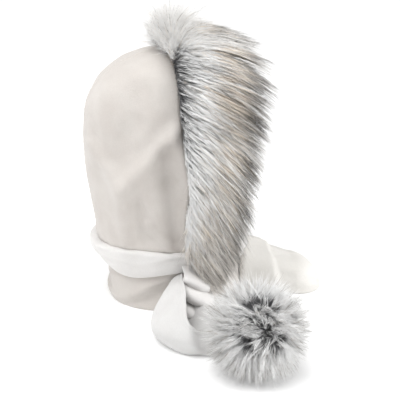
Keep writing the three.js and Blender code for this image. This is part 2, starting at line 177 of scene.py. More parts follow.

# %% [markdown]
# ## Table
# White acrylic lit from below is what such photographs are taken on, so the table glows a
# little, and only a soft shadow is left where something touches it. It is left off the
# object's frame, because it isn't part of the object.

# %% Table
TABLE_RADIUS = 14
TABLE_WHITE = (0.93, 0.93, 0.93, 1)
TABLE_GLOW = 0.11


def new_finish(name, **values):
    """A material and its shader, with plain values on the shader's own sockets."""
    finish = bpy.data.materials.new(name)
    finish.use_nodes = True
    shader = finish.node_tree.nodes["Principled BSDF"]
    for socket, value in values.items():
        shader.inputs[socket.replace("_", " ")].default_value = value
    return finish, shader


deselect()
bpy.ops.mesh.primitive_circle_add(vertices=96, radius=TABLE_RADIUS, fill_type="NGON")
table = take_new("table")
table_finish, _ = new_finish(
    "white_table", Base_Color=TABLE_WHITE, Roughness=0.9, Specular_IOR_Level=0.1,
    Emission_Color=(1, 1, 1, 1), Emission_Strength=TABLE_GLOW,
)
table.data.materials.append(table_finish)
print("table:", 2 * TABLE_RADIUS, "metres across")

# %% [markdown]
# ## Reading a smooth curve from a short table
# Each cloth piece is described by a few sections, like the marks on a sewing pattern. A
# Catmull-Rom curve runs through them, so that the cloth is smooth between its marks.

# %% Smooth tables


def curve(before, here, after, beyond, t):
    first = after - before
    second = 2 * before - 5 * here + 4 * after - beyond
    third = 3 * here - before - 3 * after + beyond
    return 0.5 * (2 * here + first * t + second * t ** 2 + third * t ** 3)


def sample(rows, share):
    """Rows of a table at shares of the way down it."""
    rows = np.asarray(rows, float)
    share = np.asarray(share, float)
    last = len(rows) - 1
    place = np.clip(share, 0, 1) * last
    row = np.minimum(place.astype(int), last - 1)
    t = (place - row).reshape(share.shape + (1,) * (rows.ndim - 1))
    near = [rows[np.clip(row + step, 0, last)] for step in (-1, 0, 1, 2)]
    return curve(*near, t)


def sample_each(rows, share, ring=False):
    """As sample, where each share has rows of its own. A ring's last row meets its first."""
    count = rows.shape[-2]
    last = count if ring else count - 1
    place = np.clip(share, 0, 1) * last
    row = np.minimum(place.astype(int), last - 1)
    near = []
    for step in (-1, 0, 1, 2):
        index = (row + step) % count if ring else np.clip(row + step, 0, last)
        near.append(np.take_along_axis(rows, index[..., None, None], axis=-2)[..., 0, :])
    return curve(*near, (place - row)[..., None])


def signed_power(value, power):
    return np.sign(value) * np.abs(value) ** power


def bump(distance, reach):
    """1 on a line, falling softly to nothing away from it."""
    return np.exp(-((distance / reach) ** 2))


def ramp(value, start, end):
    """0 before start, 1 after end, and smooth between them."""
    t = np.clip((value - start) / (end - start), 0, 1)
    return t * t * (3 - 2 * t)


def unit(vectors):
    return vectors / (np.linalg.norm(vectors, axis=-1, keepdims=True) + 1e-12)


def ripple(points, size, seed):
    """Soft noise from -1 to 1 over points in millimetres, with waves of about this size."""
    shift = Vector((seed * 7.3, seed * 3.1, seed * 5.7))
    return np.array([noise.noise(Vector(point) / size + shift) for point in points])


print("curve helpers ready")

# %% [markdown]
# ## Fleece finish
# Fleece has no weave that shows. What the eye sees is its nap: very short fibres that
# make the surface slightly rough, roll into tiny pills and catch light along the edges of
# a fold. One node group makes the nap and its faint clouds of tone. Each piece of cloth
# gets it with its own two tones, and these paint the one white fleece lighter or darker
# by the light that piece lies in: painted light on some pieces, painted shade on others.

# %% Node helpers


def add_node(tree, kind, **inputs):
    """A node with plain values on its inputs."""
    node = tree.nodes.new(kind)
    for name, value in inputs.items():
        node.inputs[name.replace("_", " ")].default_value = value
    return node


def make_group(name, takes, gives):
    """A shader node group, with the nodes that hold its inputs and its outputs."""
    group = bpy.data.node_groups.new(name, "ShaderNodeTree")
    for label, kind, value in takes:
        socket = group.interface.new_socket(label, in_out="INPUT", socket_type=kind)
        socket.default_value = value
    for label, kind in gives:
        group.interface.new_socket(label, in_out="OUTPUT", socket_type=kind)
    return group, group.nodes.new("NodeGroupInput"), group.nodes.new("NodeGroupOutput")


def feed(tree, node, values):
    """Fills a node's inputs; each value is a socket to join or a plain value to set."""
    for key, value in values.items():
        if isinstance(value, bpy.types.NodeSocket):
            tree.links.new(value, node.inputs[key])
        else:
            node.inputs[key].default_value = value


MIX_FACTOR, MIX_FIRST, MIX_SECOND, MIX_RESULT = 0, 6, 7, 2  # a colour Mix node's sockets


def mix_colours(tree, factor, first, second, blend="MIX"):
    node = tree.nodes.new("ShaderNodeMix")
    node.data_type = "RGBA"
    node.blend_type = blend
    feed(tree, node, {MIX_FACTOR: factor, MIX_FIRST: first, MIX_SECOND: second})
    return node.outputs[MIX_RESULT]


def soft_step(tree, value, start, end, low=0.0, high=1.0):
    """Low before start, high after end, and smooth between them."""
    node = tree.nodes.new("ShaderNodeMapRange")
    node.interpolation_type = "SMOOTHSTEP"
    feed(tree, node, {
        "Value": value, "From Min": start, "From Max": end, "To Min": low, "To Max": high,
    })
    return node.outputs["Result"]


def reckon(tree, operation, first, second, third=0.0):
    node = tree.nodes.new("ShaderNodeMath")
    node.operation = operation
    feed(tree, node, {0: first, 1: second, 2: third})
    return node.outputs[0]


COLOUR, NUMBER, VECTOR = "NodeSocketColor", "NodeSocketFloat", "NodeSocketVector"
print("node helpers ready")

# %% The nap of the fleece
FIBRE_SCALE = 1700  # waves in a metre
PILL_SCALE = 620
PILL_RISE = 1.6  # how much higher the pills stand than single fibres
CLOUD_SCALE = 26
NAP_DEPTH = 0.0006

nap, nap_in, nap_out = make_group(
    "fleece_nap",
    [("Coordinates", VECTOR, (0, 0, 0)), ("Light", COLOUR, (0.9, 0.9, 0.9, 1)),
     ("Shade", COLOUR, (0.8, 0.8, 0.8, 1))],
    [("Color", COLOUR), ("Height", NUMBER), ("Roughness", NUMBER)],
)
fibre = add_node(nap, "ShaderNodeTexNoise", Scale=FIBRE_SCALE, Detail=3.0, Roughness=0.65)
pills = add_node(nap, "ShaderNodeTexNoise", Scale=PILL_SCALE, Detail=2.0, Roughness=0.55)
clouds = add_node(nap, "ShaderNodeTexNoise", Scale=CLOUD_SCALE, Detail=3.0, Roughness=0.5)
for texture in (fibre, pills, clouds):
    nap.links.new(nap_in.outputs["Coordinates"], texture.inputs["Vector"])
cloudy = soft_step(nap, clouds.outputs["Fac"], 0.3, 0.72)
tone = mix_colours(nap, cloudy, nap_in.outputs["Shade"], nap_in.outputs["Light"])
speckle = soft_step(nap, pills.outputs["Fac"], 0.3, 0.66, 0.965, 1.0)
toned = mix_colours(nap, 1.0, tone, speckle, "MULTIPLY")
nap.links.new(toned, nap_out.inputs["Color"])
height = reckon(nap, "MULTIPLY_ADD", pills.outputs["Fac"], PILL_RISE, fibre.outputs["Fac"])
nap.links.new(height, nap_out.inputs["Height"])
rough = soft_step(nap, fibre.outputs["Fac"], 0.3, 0.7, 0.86, 1.0)
nap.links.new(rough, nap_out.inputs["Roughness"])


def fleece(name, light, shade):
    """A fleece finish between two tones of white."""
    finish, shader = new_finish(
        name, Specular_IOR_Level=0.15, Sheen_Weight=0.25, Sheen_Roughness=0.6,
    )
    tree = finish.node_tree
    place = tree.nodes.new("ShaderNodeTexCoord")
    use = tree.nodes.new("ShaderNodeGroup")
    use.node_tree = nap
    use.inputs["Light"].default_value = (*light, 1)
    use.inputs["Shade"].default_value = (*shade, 1)
    relief = add_node(tree, "ShaderNodeBump", Strength=0.55, Distance=NAP_DEPTH)
    tree.links.new(place.outputs["Object"], use.inputs["Coordinates"])
    tree.links.new(use.outputs["Color"], shader.inputs["Base Color"])
    tree.links.new(use.outputs["Roughness"], shader.inputs["Roughness"])
    tree.links.new(use.outputs["Height"], relief.inputs["Height"])
    tree.links.new(relief.outputs["Normal"], shader.inputs["Normal"])
    return finish


# One white fleece in four copies, each painted for the light its pieces lie in: painted shade on
# the hood and on the pompom's end, painted light on the turn, the pleats and the plain end.
warm_fleece_painted_shade = fleece("warm_fleece_painted_shade", (0.655, 0.62, 0.585), (0.61, 0.57, 0.535))
band_fleece_painted_light = fleece("band_fleece_painted_light", (0.80, 0.785, 0.77), (0.75, 0.735, 0.72))
white_fleece_painted_shade = fleece("white_fleece_painted_shade", (0.70, 0.695, 0.685), (0.66, 0.65, 0.64))
lit_fleece = fleece("lit_fleece", (0.83, 0.812, 0.775), (0.79, 0.77, 0.73))
print("fleece finishes:", warm_fleece_painted_shade.name, band_fleece_painted_light.name, white_fleece_painted_shade.name, lit_fleece.name)

# %% [markdown]
# ## How every cloth piece is made
# A fleece panel starts as a flat grid, as the real one starts as a flat cut. Its vertices
# are laid on the panel's surface and moved a little along their normals for folds, seams
# and hems. Solidify gives it the cloth's thickness, and where the grid is coarse, one
# subdivision rounds it. A cloth simulation was left out: the folds of this hood are few,
# and each has its known place.

# %% Cloth helpers
CLOTH = 3  # millimetres of doubled fleece
CLEAR = 0.4  # kept between two pieces that lie together
WELD = 0.00001


def read_points(mesh):
    flat = np.empty(len(mesh.vertices) * 3)
    mesh.vertices.foreach_get("co", flat)
    return flat.reshape(-1, 3)


def write_points(mesh, points):
    mesh.vertices.foreach_set("co", np.asarray(points, np.float32).ravel())
    mesh.update()


def lay_cloth(name, columns, rows, surface, relief):
    """A grid laid on surface(u, v) and raised by relief(points, u, v), all in millimetres."""
    deselect()
    bpy.ops.mesh.primitive_grid_add(x_subdivisions=columns, y_subdivisions=rows, size=1)
    cloth = take_new(name)
    flat = read_points(cloth.data)
    u = flat[:, 0] + 0.5
    v = flat[:, 1] + 0.5
    points = surface(u, v)
    write_points(cloth.data, points)
    return raise_cloth(cloth, points, relief(points, u, v))


def raise_cloth(cloth, points, heights):
    """Moves each vertex along its normal, keeps it on the table and closes the poles."""
    normals = np.array([normal.vector for normal in cloth.data.vertex_normals])
    moved = points + normals * heights[:, None]
    moved[:, 2] = np.maximum(moved[:, 2], 0)
    write_points(cloth.data, to_frame(moved))
    bpy.ops.object.mode_set(mode="EDIT")
    bpy.ops.mesh.select_all(action="SELECT")
    bpy.ops.mesh.remove_doubles(threshold=WELD)
    bpy.ops.object.mode_set(mode="OBJECT")
    return cloth


def apply_modifier(piece, kind, **settings):
    bpy.context.view_layer.objects.active = piece
    piece.select_set(True)
    bpy.ops.object.modifier_add(type=kind)
    modifier = piece.modifiers[-1]
    for name, value in settings.items():
        setattr(modifier, name, value)
    bpy.ops.object.modifier_apply(modifier=modifier.name)


def finish_cloth(cloth, finish, rounding=1):
    """Gives the sheet its thickness, rounds it and gives it its finish."""
    apply_modifier(cloth, "SOLIDIFY", thickness=CLOTH * MM, offset=-1, use_even_offset=False)
    if rounding:
        apply_modifier(cloth, "SUBSURF", levels=rounding, render_levels=rounding)
    bpy.ops.object.shade_smooth()
    cloth.data.materials.append(finish)
    return cloth


def seat(piece, node):
    """The piece rides on the frame and stands for its solid, which is hidden, when it has one."""
    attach(piece, "root")
    if node:
        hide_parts(node)
    faces = piece.data.polygons
    triangles = sum(len(face.vertices) - 2 for face in faces)
    one_side = sum(face.area for face in faces) / 2
    print(piece.name, "triangles", triangles, "area of one side", round(one_side, 4))


print("cloth helpers ready")

# %% [markdown]
# ## Hood
# The hood is two fleece sides joined by a seam over the crown and down the back. It
# stands up by itself, pinched at the neck, where its front edges meet under the scarf.
# The rows are half sections from the hem to the crown, the same as the solid's. Fine
# folds, the back seam and the stitched hem are then added as relief.

# %% The hood's sections and folds
# back y, back z, half width, edge y, edge z, front y, degrees of wrap past the side
HOOD_ROWS = [
    (94, 0, 77, 0, 0, -86, 88), (93, 22, 73, 0, 22, -84, 88),
    (94, 46, 69, 0, 46, -82, 88), (103, 72, 70, 0, 72, -81, 88),
    (107, 89, 73, 1, 80, -80, 50), (111, 110, 77, 2, 96, -78, 0),
    (116, 142, 81, 0, 137, -78, 0), (121, 176, 84, -4, 173, -78, 0),
    (123, 212, 84, -1, 210, -78, 0), (122, 246, 82, 4, 243, -78, 0),
    (118, 277, 79, 8, 270, -78, 0), (106, 303, 73, 8, 294, -78, 0),
    (84, 323, 62, 8, 315, -78, 0), (57, 334, 44, 8, 329, -78, 0),
    (31, 338.5, 22, 7, 336, -78, 0), (7, 338, 0, 7, 338, -78, 0),
]
HOOD_ROUNDNESS = 2.3
MOST_WRAP = 88.5
# from y and z to y and z, how high the fold is and how far it reaches
HOOD_FOLDS = [
    (126, 236, 85, 174, 3.5, 12), (12, 256, 85, 174, 4, 13), (85, 174, 77, 96, 4, 11),
    (30, 216, 18, 150, -5, 17), (92, 236, 62, 262, -3, 18), (61, 160, 52, 112, -4, 14),
    (55, 126, 24, 92, 2.5, 8),
]
FINE_FOLDS = [
    (116, 224, 88, 178, 2.0, 8), (14, 256, 78, 184, 4.0, 8.5), (86, 168, 78, 100, 3.2, 8),
    (112, 272, 98, 300, 0.8, 12), (98, 300, 66, 322, 1.1, 12), (66, 322, 22, 330, 0.6, 12),
    (98, 268, 60, 300, -3.5, 18), (66, 262, 82, 214, -5.5, 17), (60, 222, 26, 264, -3.5, 12),
    (100, 212, 112, 240, -2.5, 9), (30, 290, 70, 280, -1.5, 16),
    (26, 226, 22, 180, -6.5, 13), (22, 180, 14, 100, -7.0, 14), (16, 246, -2, 186, 2.6, 5),
    (58, 168, 24, 100, 3.0, 7), (54, 126, 18, 84, 3.2, 4), (42, 122, 10, 92, -3.0, 5),
    (112, 190, 104, 120, -3.6, 9), (64, 152, 60, 100, -4.0, 7), (100, 120, 92, 90, 2.0, 5),
]
# the same, on the tier of cloth below the scarf
TIER_FOLDS = [
    (92, 2, 34, 44, 4.6, 7), (74, 0, 24, 30, -4.5, 9), (110, 26, 80, 40, 2.2, 6),
    (26, 6, 4, 34, 2.4, 6), (-10, 4, -34, 34, -3.0, 9), (-44, 6, -60, 34, 2.4, 7),
]


def line_gap(y, z, fold):
    """How far places on the hood's side are from a fold's line."""
    from_y, from_z, to_y, to_z = fold[:4]
    run_y, run_z = to_y - from_y, to_z - from_z
    along = ((y - from_y) * run_y + (z - from_z) * run_z) / (run_y ** 2 + run_z ** 2)
    share = np.clip(along, 0, 1)
    return np.hypot(y - from_y - share * run_y, z - from_z - share * run_z)


def raised_by(folds, y, z):
    """How high a table's folds stand at places on the hood's side."""
    return sum(fold[4] * bump(line_gap(y, z, fold), fold[5]) for fold in folds)


def row_place(up, angle):
    """The hood's outer face: up runs from hem to crown, the angle from the back to a side."""
    row = sample(HOOD_ROWS, up)
    back_y, back_z, wide, edge_y, edge_z, front_y, wrap = np.moveaxis(row, -1, 0)
    side = signed_power(np.sin(angle), 2 / HOOD_ROUNDNESS)
    depth = signed_power(np.cos(angle), 2 / HOOD_ROUNDNESS)
    depth = np.where(np.abs(depth) < 1e-9, 0, depth)
    wide = np.maximum(wide, 0)
    y = edge_y + np.where(depth > 0, back_y - edge_y, edge_y - front_y) * depth
    z = edge_z + (back_z - edge_z) * np.maximum(depth, 0)
    rise = raised_by(HOOD_FOLDS, y, z) * np.minimum(1, np.abs(wide * side) / (0.5 * wide + 1))
    return np.stack([(wide + rise) * side, y + rise * 0.5 * depth, z], axis=-1)


def hood_surface(up, turn):
    """Turn is 0 at the back, 1 at a side and 2 at that side's front edge."""
    wrap = np.clip(sample(HOOD_ROWS, up)[..., 6], 0, MOST_WRAP)
    past = np.maximum(np.abs(turn) - 1, 0)
    angle = np.minimum(np.abs(turn), 1) * 90 + past * wrap
    return row_place(up, np.radians(angle) * np.sign(turn))


print("hood rows:", len(HOOD_ROWS), "folds:", len(HOOD_FOLDS + FINE_FOLDS + TIER_FOLDS))

# %% [markdown]
# ## The hood's relief
# On the real hood these are sewing marks and soft dents: the back seam with its puckers,
# the stitched hem, and folds that the cloth falls into. A bump texture would give them at
# no cost, but they show at the outline and in the exported mesh only as real relief.

# %% The hood's relief
COLUMN_SPACING = (0.4, 0.6)  # the first is even, the second is closer beside the back seam
SIDE_FROM = 30  # millimetres from the seam within which the side's folds run out
CROWN_PRESS = 4.5  # the top corner at the back is pressed in by this much
SEAM_WIDTH = 1.5
SEAM_DEPTH = 1.2
SEAM_RIDGE = 0.6  # the ridges on both sides of the seam
PUCKER = 0.25
PUCKER_LENGTH = 9
HEM_DEPTH = 13  # the hem's stitch line above its edge
HEM_RISE = 0.7
STITCH = 3.2  # length of one machine stitch and its gap
STITCH_DEPTH = 0.8
COLLAR_RISE = 2.6  # the roll where the front edges meet over the scarf


def hood_turn(u):
    """Columns from one front edge to the other, closer together beside the back seam."""
    side = 1 - 2 * u
    even, closer = COLUMN_SPACING
    return 2 * np.sign(side) * (even * np.abs(side) + closer * side ** 2)


def seam_relief(x, y, z):
    """The seam down the back, a groove between two puckered ridges."""
    out = np.abs(x)
    pucker = PUCKER * np.sin(2 * math.pi * z / PUCKER_LENGTH) * bump(out - 5, 4)
    groove = SEAM_RIDGE * bump(out - 3.2, 2.2) - SEAM_DEPTH * bump(x, SEAM_WIDTH)
    return ramp(y, 8, 30) * (pucker + groove)


def hem_relief(x, y, z):
    """The turned hem stands out a little, and its stitches pull it in again."""
    stitches = 0.6 + 0.4 * np.sin(2 * math.pi * (x + y) / STITCH)
    hem = HEM_RISE * (1 - ramp(z, HEM_DEPTH - 2, HEM_DEPTH)) * ramp(z, 0, 2)
    return hem - STITCH_DEPTH * stitches * bump(z - HEM_DEPTH, 1.1)


def hood_relief(points, u, v):
    x, y, z = points.T
    side = np.minimum(1, np.abs(x) / SIDE_FROM)
    heights = raised_by(FINE_FOLDS, y, z) * side
    heights -= CROWN_PRESS * ramp(y, 20, 80) * ramp(z, 262, 305)
    heights += 0.9 * ripple(points, 46, 1) * side + 0.3 * ripple(points, 15, 2)
    heights += seam_relief(x, y, z) + hem_relief(x, y, z)
    tier = ramp(z, 1, 9) * (1 - ramp(z, 36, 48))
    heights += tier * raised_by(TIER_FOLDS, y, z)
    heights += COLLAR_RISE * bump(z - 91, 9) * ramp(y, -70, -50)
    tucked = ramp(z, 44, 50) * (1 - ramp(z, 74, 80))  # under the scarf, where it may not rise
    edge = ramp(np.abs(hood_turn(u)), 0.97, 1.0) * ramp(z, 90, 104)
    return np.where(tucked > 0, np.minimum(heights, CLEAR / 2), heights) * (1 - edge)


print("back seam", SEAM_WIDTH, "mm wide, stitches", STITCH, "mm long")

# %% Lay the hood
hood = lay_cloth(
    "hood_fleece", 190, 118, lambda u, v: hood_surface(v, hood_turn(u)), hood_relief,
)
finish_cloth(hood, warm_fleece_painted_shade, rounding=0)
seat(hood, "hood")

# %% [markdown]
# ## The scarf's turn round the neck
# The scarf is folded lengthways and goes once round the neck, so it is a ring of soft
# cloth. A torus is the nearest primitive: each of its vertices is moved to the same place
# on the scarf's own section, which leans on the hood and flares away from it at the top.

# %% The turn's sections
# angle from the back, foot, top, flare
WRAP_TURNS = [
    (0, 50, 80, 9.5), (50, 46, 84, 6.5), (90, 55, 81, 4), (130, 55, 80, 7), (180, 50, 82, 10),
]
# out from the neck, share of the height, share of the flare
WRAP_PROFILE = np.array([
    (0, 0.04, 0), (1.5, -0.06, 0), (4, -0.05, 0), (6, 0.1, 0.1), (6, 0.42, 0.5),
    (5, 0.78, 0.9), (3.4, 1.0, 1), (1.0, 1.1, 0.6), (-0.6, 1.06, 0.0), (-0.4, 0.7, 0.0),
    (0.4, 0.3, 0.1),
])
NECK_STEPS = 61
RING = {"major_segments": 240, "minor_segments": 48}
PROFILE_START = math.radians(150)
FOLD_LINE = 0.40  # share of the way round the section where the long crease runs
CREASE_DEPTH = 2.1
GATHER_FROM, GATHER_TO = 215, 300  # degrees between which the near side is gathered


def neck_place(height, angle):
    """The hood's outer face at a height, found between its rows."""
    ups = np.linspace(0, 0.5, NECK_STEPS)
    column = row_place(ups[None, :], angle[:, None])
    found = np.empty((len(angle), 3))
    for index, (rows, wanted) in enumerate(zip(column, height)):
        found[index] = [np.interp(wanted, rows[:, 2], rows[:, axis]) for axis in (0, 1, 2)]
    return found


def wrap_surface(angle, share):
    """Angle from the back in radians, and a share of the way round the ring's section."""
    turn = sample(WRAP_TURNS, np.minimum(angle, 2 * math.pi - angle) / math.pi)
    low, top, flare = turn[:, 1], turn[:, 2], turn[:, 3]
    profile = np.broadcast_to(WRAP_PROFILE, (len(share), *WRAP_PROFILE.shape))
    out, up, flared = sample_each(profile, share, ring=True).T
    place = neck_place(low + up * (top - low), angle)
    reach = CLEAR + out + flared * flare
    outward = np.stack([np.sin(angle), np.cos(angle), 0 * angle], axis=-1)
    return place + outward * reach[:, None]


def wrap_relief(points, angle, share):
    """One long crease that sways round the neck, with a roll of cloth on both sides of it."""
    degrees = np.degrees(angle)
    place = share - FOLD_LINE - 0.05 * np.sin(3 * angle + 0.6) - 0.03 * np.sin(7 * angle)
    crease = -CREASE_DEPTH * bump(place, 0.022) * (0.6 + 0.4 * np.sin(2 * angle + 1))
    rolls = 1.3 * bump(place - 0.06, 0.04) + 0.9 * bump(place + 0.06, 0.035)
    gathers = 0.7 * np.sin(degrees / 4.3 + 3 * np.sin(angle))
    gathers *= ramp(degrees, GATHER_FROM, GATHER_FROM + 35)
    gathers *= 1 - ramp(degrees, GATHER_TO - 25, GATHER_TO)
    soft = 0.8 * ripple(points, 30, 4)
    return bump(share - 0.42, 0.16) * (crease + rolls + gathers + soft)


deselect()
bpy.ops.mesh.primitive_torus_add(major_radius=1, minor_radius=0.4, **RING)
wrap = take_new("scarf_turn")
ring_points = read_points(wrap.data)
ring_angle = np.arctan2(ring_points[:, 0], ring_points[:, 1]) % (2 * math.pi)
lean = np.arctan2(ring_points[:, 2], np.hypot(ring_points[:, 0], ring_points[:, 1]) - 1)
ring_share = ((lean + PROFILE_START) / (2 * math.pi)) % 1
wrap_points = wrap_surface(ring_angle, ring_share)
write_points(wrap.data, wrap_points)
raise_cloth(wrap, wrap_points, wrap_relief(wrap_points, ring_angle, ring_share))
bpy.ops.object.shade_smooth()
wrap.data.materials.append(band_fleece_painted_light)
seat(wrap, "scarf_wrap")

# %% [markdown]
# ## The scarf end with the pompom
# This end comes out from under the turn, stands on its fold and curls round like a
# trough, with the pompom at its tip. Five marks say where each section runs: the free
# rim, the side, the foot on the table, the bed inside and the lip that stands up again.

# %% The right end's sections
# x, y, z of the rim, the side, the foot, the bed and the lip, from the neck to the pompom
RIGHT_END = [
    [(-73, 6, 52.6), (-73, 16, 48.4), (-70.4, 22, 38), (-71.4, 10, 33), (-71.4, -4, 35)],
    [(-94, 8, 54), (-97, 32, 43), (-92, 38, 18), (-88, 16, 12), (-86, -10, 30)],
    [(-124, 10, 53), (-131, 50, 34), (-116, 50, 1), (-112, 22, 0), (-110, -14, 28)],
    [(-152, 14, 51), (-160, 56, 28), (-144, 50, 0), (-134, 20, 0), (-130, -17, 26)],
    [(-180, 19, 49), (-190, 46, 26), (-176, 38, 0), (-158, 14, 0), (-149, -18, 25)],
    [(-197, 16, 42), (-208, 24, 22), (-197, 22, 0), (-174, 4, 0), (-164, -20, 22)],
    [(-200, 2, 29), (-211, 4, 14), (-202, 2, 0), (-184, -8, 0), (-176, -24, 20)],
    [(-205, -12, 22), (-214, -14, 10), (-206, -16, 0), (-194, -22, 0), (-188, -30, 19)],
    [(-213, -25, 22), (-218, -27, 13), (-212, -33, 7), (-205, -37, 8), (-200, -40, 23)],
    [(-228, -37, 30), (-232, -40, 25), (-229, -46, 24), (-223, -49, 28), (-219, -51, 33)],
]


def right_surface(across, along):
    place = sample_each(sample(RIGHT_END, along), across)
    place[:, 2] = np.maximum(place[:, 2], 0)
    return place


print("right end sections:", len(RIGHT_END))

# %% Lay the right end
# share of the way along, how much that grows across, height and reach of its side's folds
RIGHT_FOLDS = [
    (0.30, 0.25, 1.6, 0.035), (0.42, 0.30, -2.2, 0.06), (0.56, 0.22, 1.8, 0.04),
    (0.70, 0, -1.4, 0.05),
]
GATHER_WAVES = 44  # radians of gathers across the end, beside the pompom


def right_relief(points, across, along):
    standing = ramp(points[:, 2], 3, 9)
    folds = sum(
        height * bump(along - place - slant * across, reach)
        for place, slant, height, reach in RIGHT_FOLDS
    )
    folds *= bump(across - 0.22, 0.2)
    gathers = 0.9 * np.sin(across * GATHER_WAVES) * ramp(along, 0.72, 0.9)
    hem = HEM_RISE * (1 - ramp(across, 0.05, 0.07)) - STITCH_DEPTH * bump(across - 0.075, 0.012)
    soft = 0.8 * ripple(points, 28, 6) + 0.25 * ripple(points, 12, 7)
    return standing * (folds + hem + soft) + gathers * (points[:, 2] > 1)


right_end = lay_cloth("scarf_end_pompom", 60, 104, right_surface, right_relief)
finish_cloth(right_end, white_fleece_painted_shade, rounding=1)
seat(right_end, "scarf_end_right")

# %% [markdown]
# ## Pleats inside that end
# Where the scarf comes out from under the turn it is gathered, and its layers fall into
# the trough as three soft pleats. Each is a small sheet laid round a nose that faces out.

# %% Pleats
# front x, y, middle z, half height of each pleat's nose, from the rim inwards
PLEATS = [
    [(-98, 7, 57, 7), (-105, 0, 54, 9), (-108, -12, 48, 9), (-101, -25, 41, 7)],
    [(-108, 8, 40, 8), (-116, 1, 36, 10), (-120, -14, 29, 10), (-113, -30, 22, 7)],
    [(-117, 12, 20, 7), (-125, 6, 16, 9), (-126, -4, 11, 8), (-119, -14, 7, 5)],
]
PLEAT_DEPTH = 30
PLEAT_FLOOR = 4  # millimetres above the table


def pleat_surface(rows):
    """The surface of one pleat, for lay_cloth."""
    def surface(u, v):
        front, y, middle, half = sample(rows, v).T
        angle = (u - 0.5) * math.pi
        x = front + PLEAT_DEPTH * (1 - np.cos(angle))
        return np.stack([x, y, np.maximum(middle + half * np.sin(angle), PLEAT_FLOOR)], axis=-1)

    return surface


def pleat_relief(points, u, v):
    return 0.9 * ripple(points, 16, 14) + 0.25 * ripple(points, 7, 15)


for number, rows in enumerate(PLEATS, start=1):
    pleat = lay_cloth(f"pleat_{number}", 20, 26, pleat_surface(rows), pleat_relief)
    finish_cloth(pleat, band_fleece_painted_light, rounding=1)
    seat(pleat, None)

# %% [markdown]
# ## The other scarf end
# The other end is pushed forward in one puffed fold and lies on the table with a round
# nose. It is laid out as an arch that gets lower towards the nose.

# %% The left end's sections
# middle x, y, half width, height, how far the sides are set back
LEFT_END = [
    (5, -84, 31, 44, 3), (3, -92.5, 37, 62, 5), (0, -112, 41, 57, 3),
    (-8, -134, 45, 49, 0), (-17, -154, 46, 43, 0),
]
LEFT_NOSE = 39
LEFT_TUCK = 7
LEFT_BODY = 0.6  # share of the rows before the nose
LEFT_LEAN = 0.25  # how far the nose turns sideways as it runs forward


def left_surface(round_share, rows):
    nose_share = np.clip((rows - LEFT_BODY) / (1 - LEFT_BODY), 0, 1)
    nose = np.sin(nose_share * math.pi / 2)
    x, y, half, high, sweep = sample(LEFT_END, np.minimum(rows / LEFT_BODY, 1)).T
    taper = np.sqrt(np.maximum(1 - nose ** 2, 0))
    angle = round_share * math.pi
    tuck = LEFT_TUCK * taper * (1 - np.sin(angle)) ** 2
    side = np.cos(angle) * np.maximum(half * taper - tuck, 0)
    forward = LEFT_NOSE * nose
    set_back = sweep * (side / half) ** 2
    height = high * taper * np.maximum(np.sin(angle), 0) ** 0.8
    return np.stack([x + side - LEFT_LEAN * forward, y + set_back - forward, height], axis=-1)


print("left end rows:", len(LEFT_END))

# %% Lay the left end
# share of the way round, how much that grows forwards, height, reach, rows where it ends
LEFT_FOLDS = [
    (0.60, -0.25, 2.2, 0.035, 0.8), (0.68, -0.20, -2.6, 0.05, 0.7),
    (0.42, 0.10, -1.8, 0.05, 0.9), (0.30, 0, 1.4, 0.04, 0.8),
]
FADE = 0.3  # share of the rows in which a fold runs out
LAYER_EDGE = 0.38  # rows where the upper layer of the folded scarf stops
LAYER_RISE = 4.2


def left_relief(points, round_share, rows):
    standing = ramp(points[:, 2], 3, 10) * ramp(rows, 0.03, 0.12)
    folds = -1.6 * bump(round_share - 0.84, 0.05) * ramp(rows, 0.3, 0.5)
    for place, slant, height, reach, stop in LEFT_FOLDS:
        fold = height * bump(round_share - place - slant * rows, reach)
        folds += fold * (1 - ramp(rows, stop - FADE, stop))
    layer = LAYER_EDGE + 0.14 * (round_share - 0.5)
    folds += LAYER_RISE * (1 - ramp(rows, layer - 0.03, layer + 0.025))
    folds += 1.6 * (1 - ramp(rows - 0.1 * round_share, 0.05, 0.15))
    soft = 1.4 * ripple(points, 34, 8) + 0.3 * ripple(points, 14, 9)
    return standing * (folds + soft)


left_end = lay_cloth("scarf_end_plain", 66, 78, left_surface, left_relief)
finish_cloth(left_end, lit_fleece, rounding=1)
seat(left_end, "scarf_end_left")

# %% [markdown]
# ## Fur finish
# A faux fur fibre is dyed along its length: dark at the root, silver, then taupe, then a
# darker tip. Each fibre's own UV map holds how dark it is (across) and how far along the
# fibre a place is (up), and the colours are read from those two numbers alone. A darker
# fibre has a longer root and a shorter silver part, and the darkest are dyed once more over
# their outer half, so that no two locks look dyed alike.

# %% Fur finish
BAKE_MAP = "OFBake"
PLAIN = (1, 1, 1, 1)
DARK_DYE = (0.36, 0.29, 0.23, 1)
ROOT_BLUR = 0.13  # share of a fibre in which one dye goes over into the next
BAND_BLUR = 0.26

shade, shade_in, shade_out = make_group(
    "fibre_colour",
    [("Along", NUMBER, 0), ("Tone", NUMBER, 0), ("Root", COLOUR, (0.1, 0.1, 0.1, 1)),
     ("Band", COLOUR, (0.8, 0.8, 0.8, 1)), ("Body", COLOUR, (0.5, 0.45, 0.4, 1)),
     ("Tip", COLOUR, (0.2, 0.17, 0.15, 1)), ("Root End", NUMBER, 0.1),
     ("Band End", NUMBER, 0.5)],
    [("Color", COLOUR), ("Roughness", NUMBER)],
)
along, fibre_tone = shade_in.outputs["Along"], shade_in.outputs["Tone"]
root_end = reckon(shade, "MULTIPLY_ADD", fibre_tone, 0.16, shade_in.outputs["Root End"])
root_start = reckon(shade, "SUBTRACT", root_end, ROOT_BLUR)
band_end = reckon(shade, "MULTIPLY_ADD", fibre_tone, -0.34, shade_in.outputs["Band End"])
band_stop = reckon(shade, "ADD", band_end, BAND_BLUR)
past_root = soft_step(shade, along, root_start, root_end)
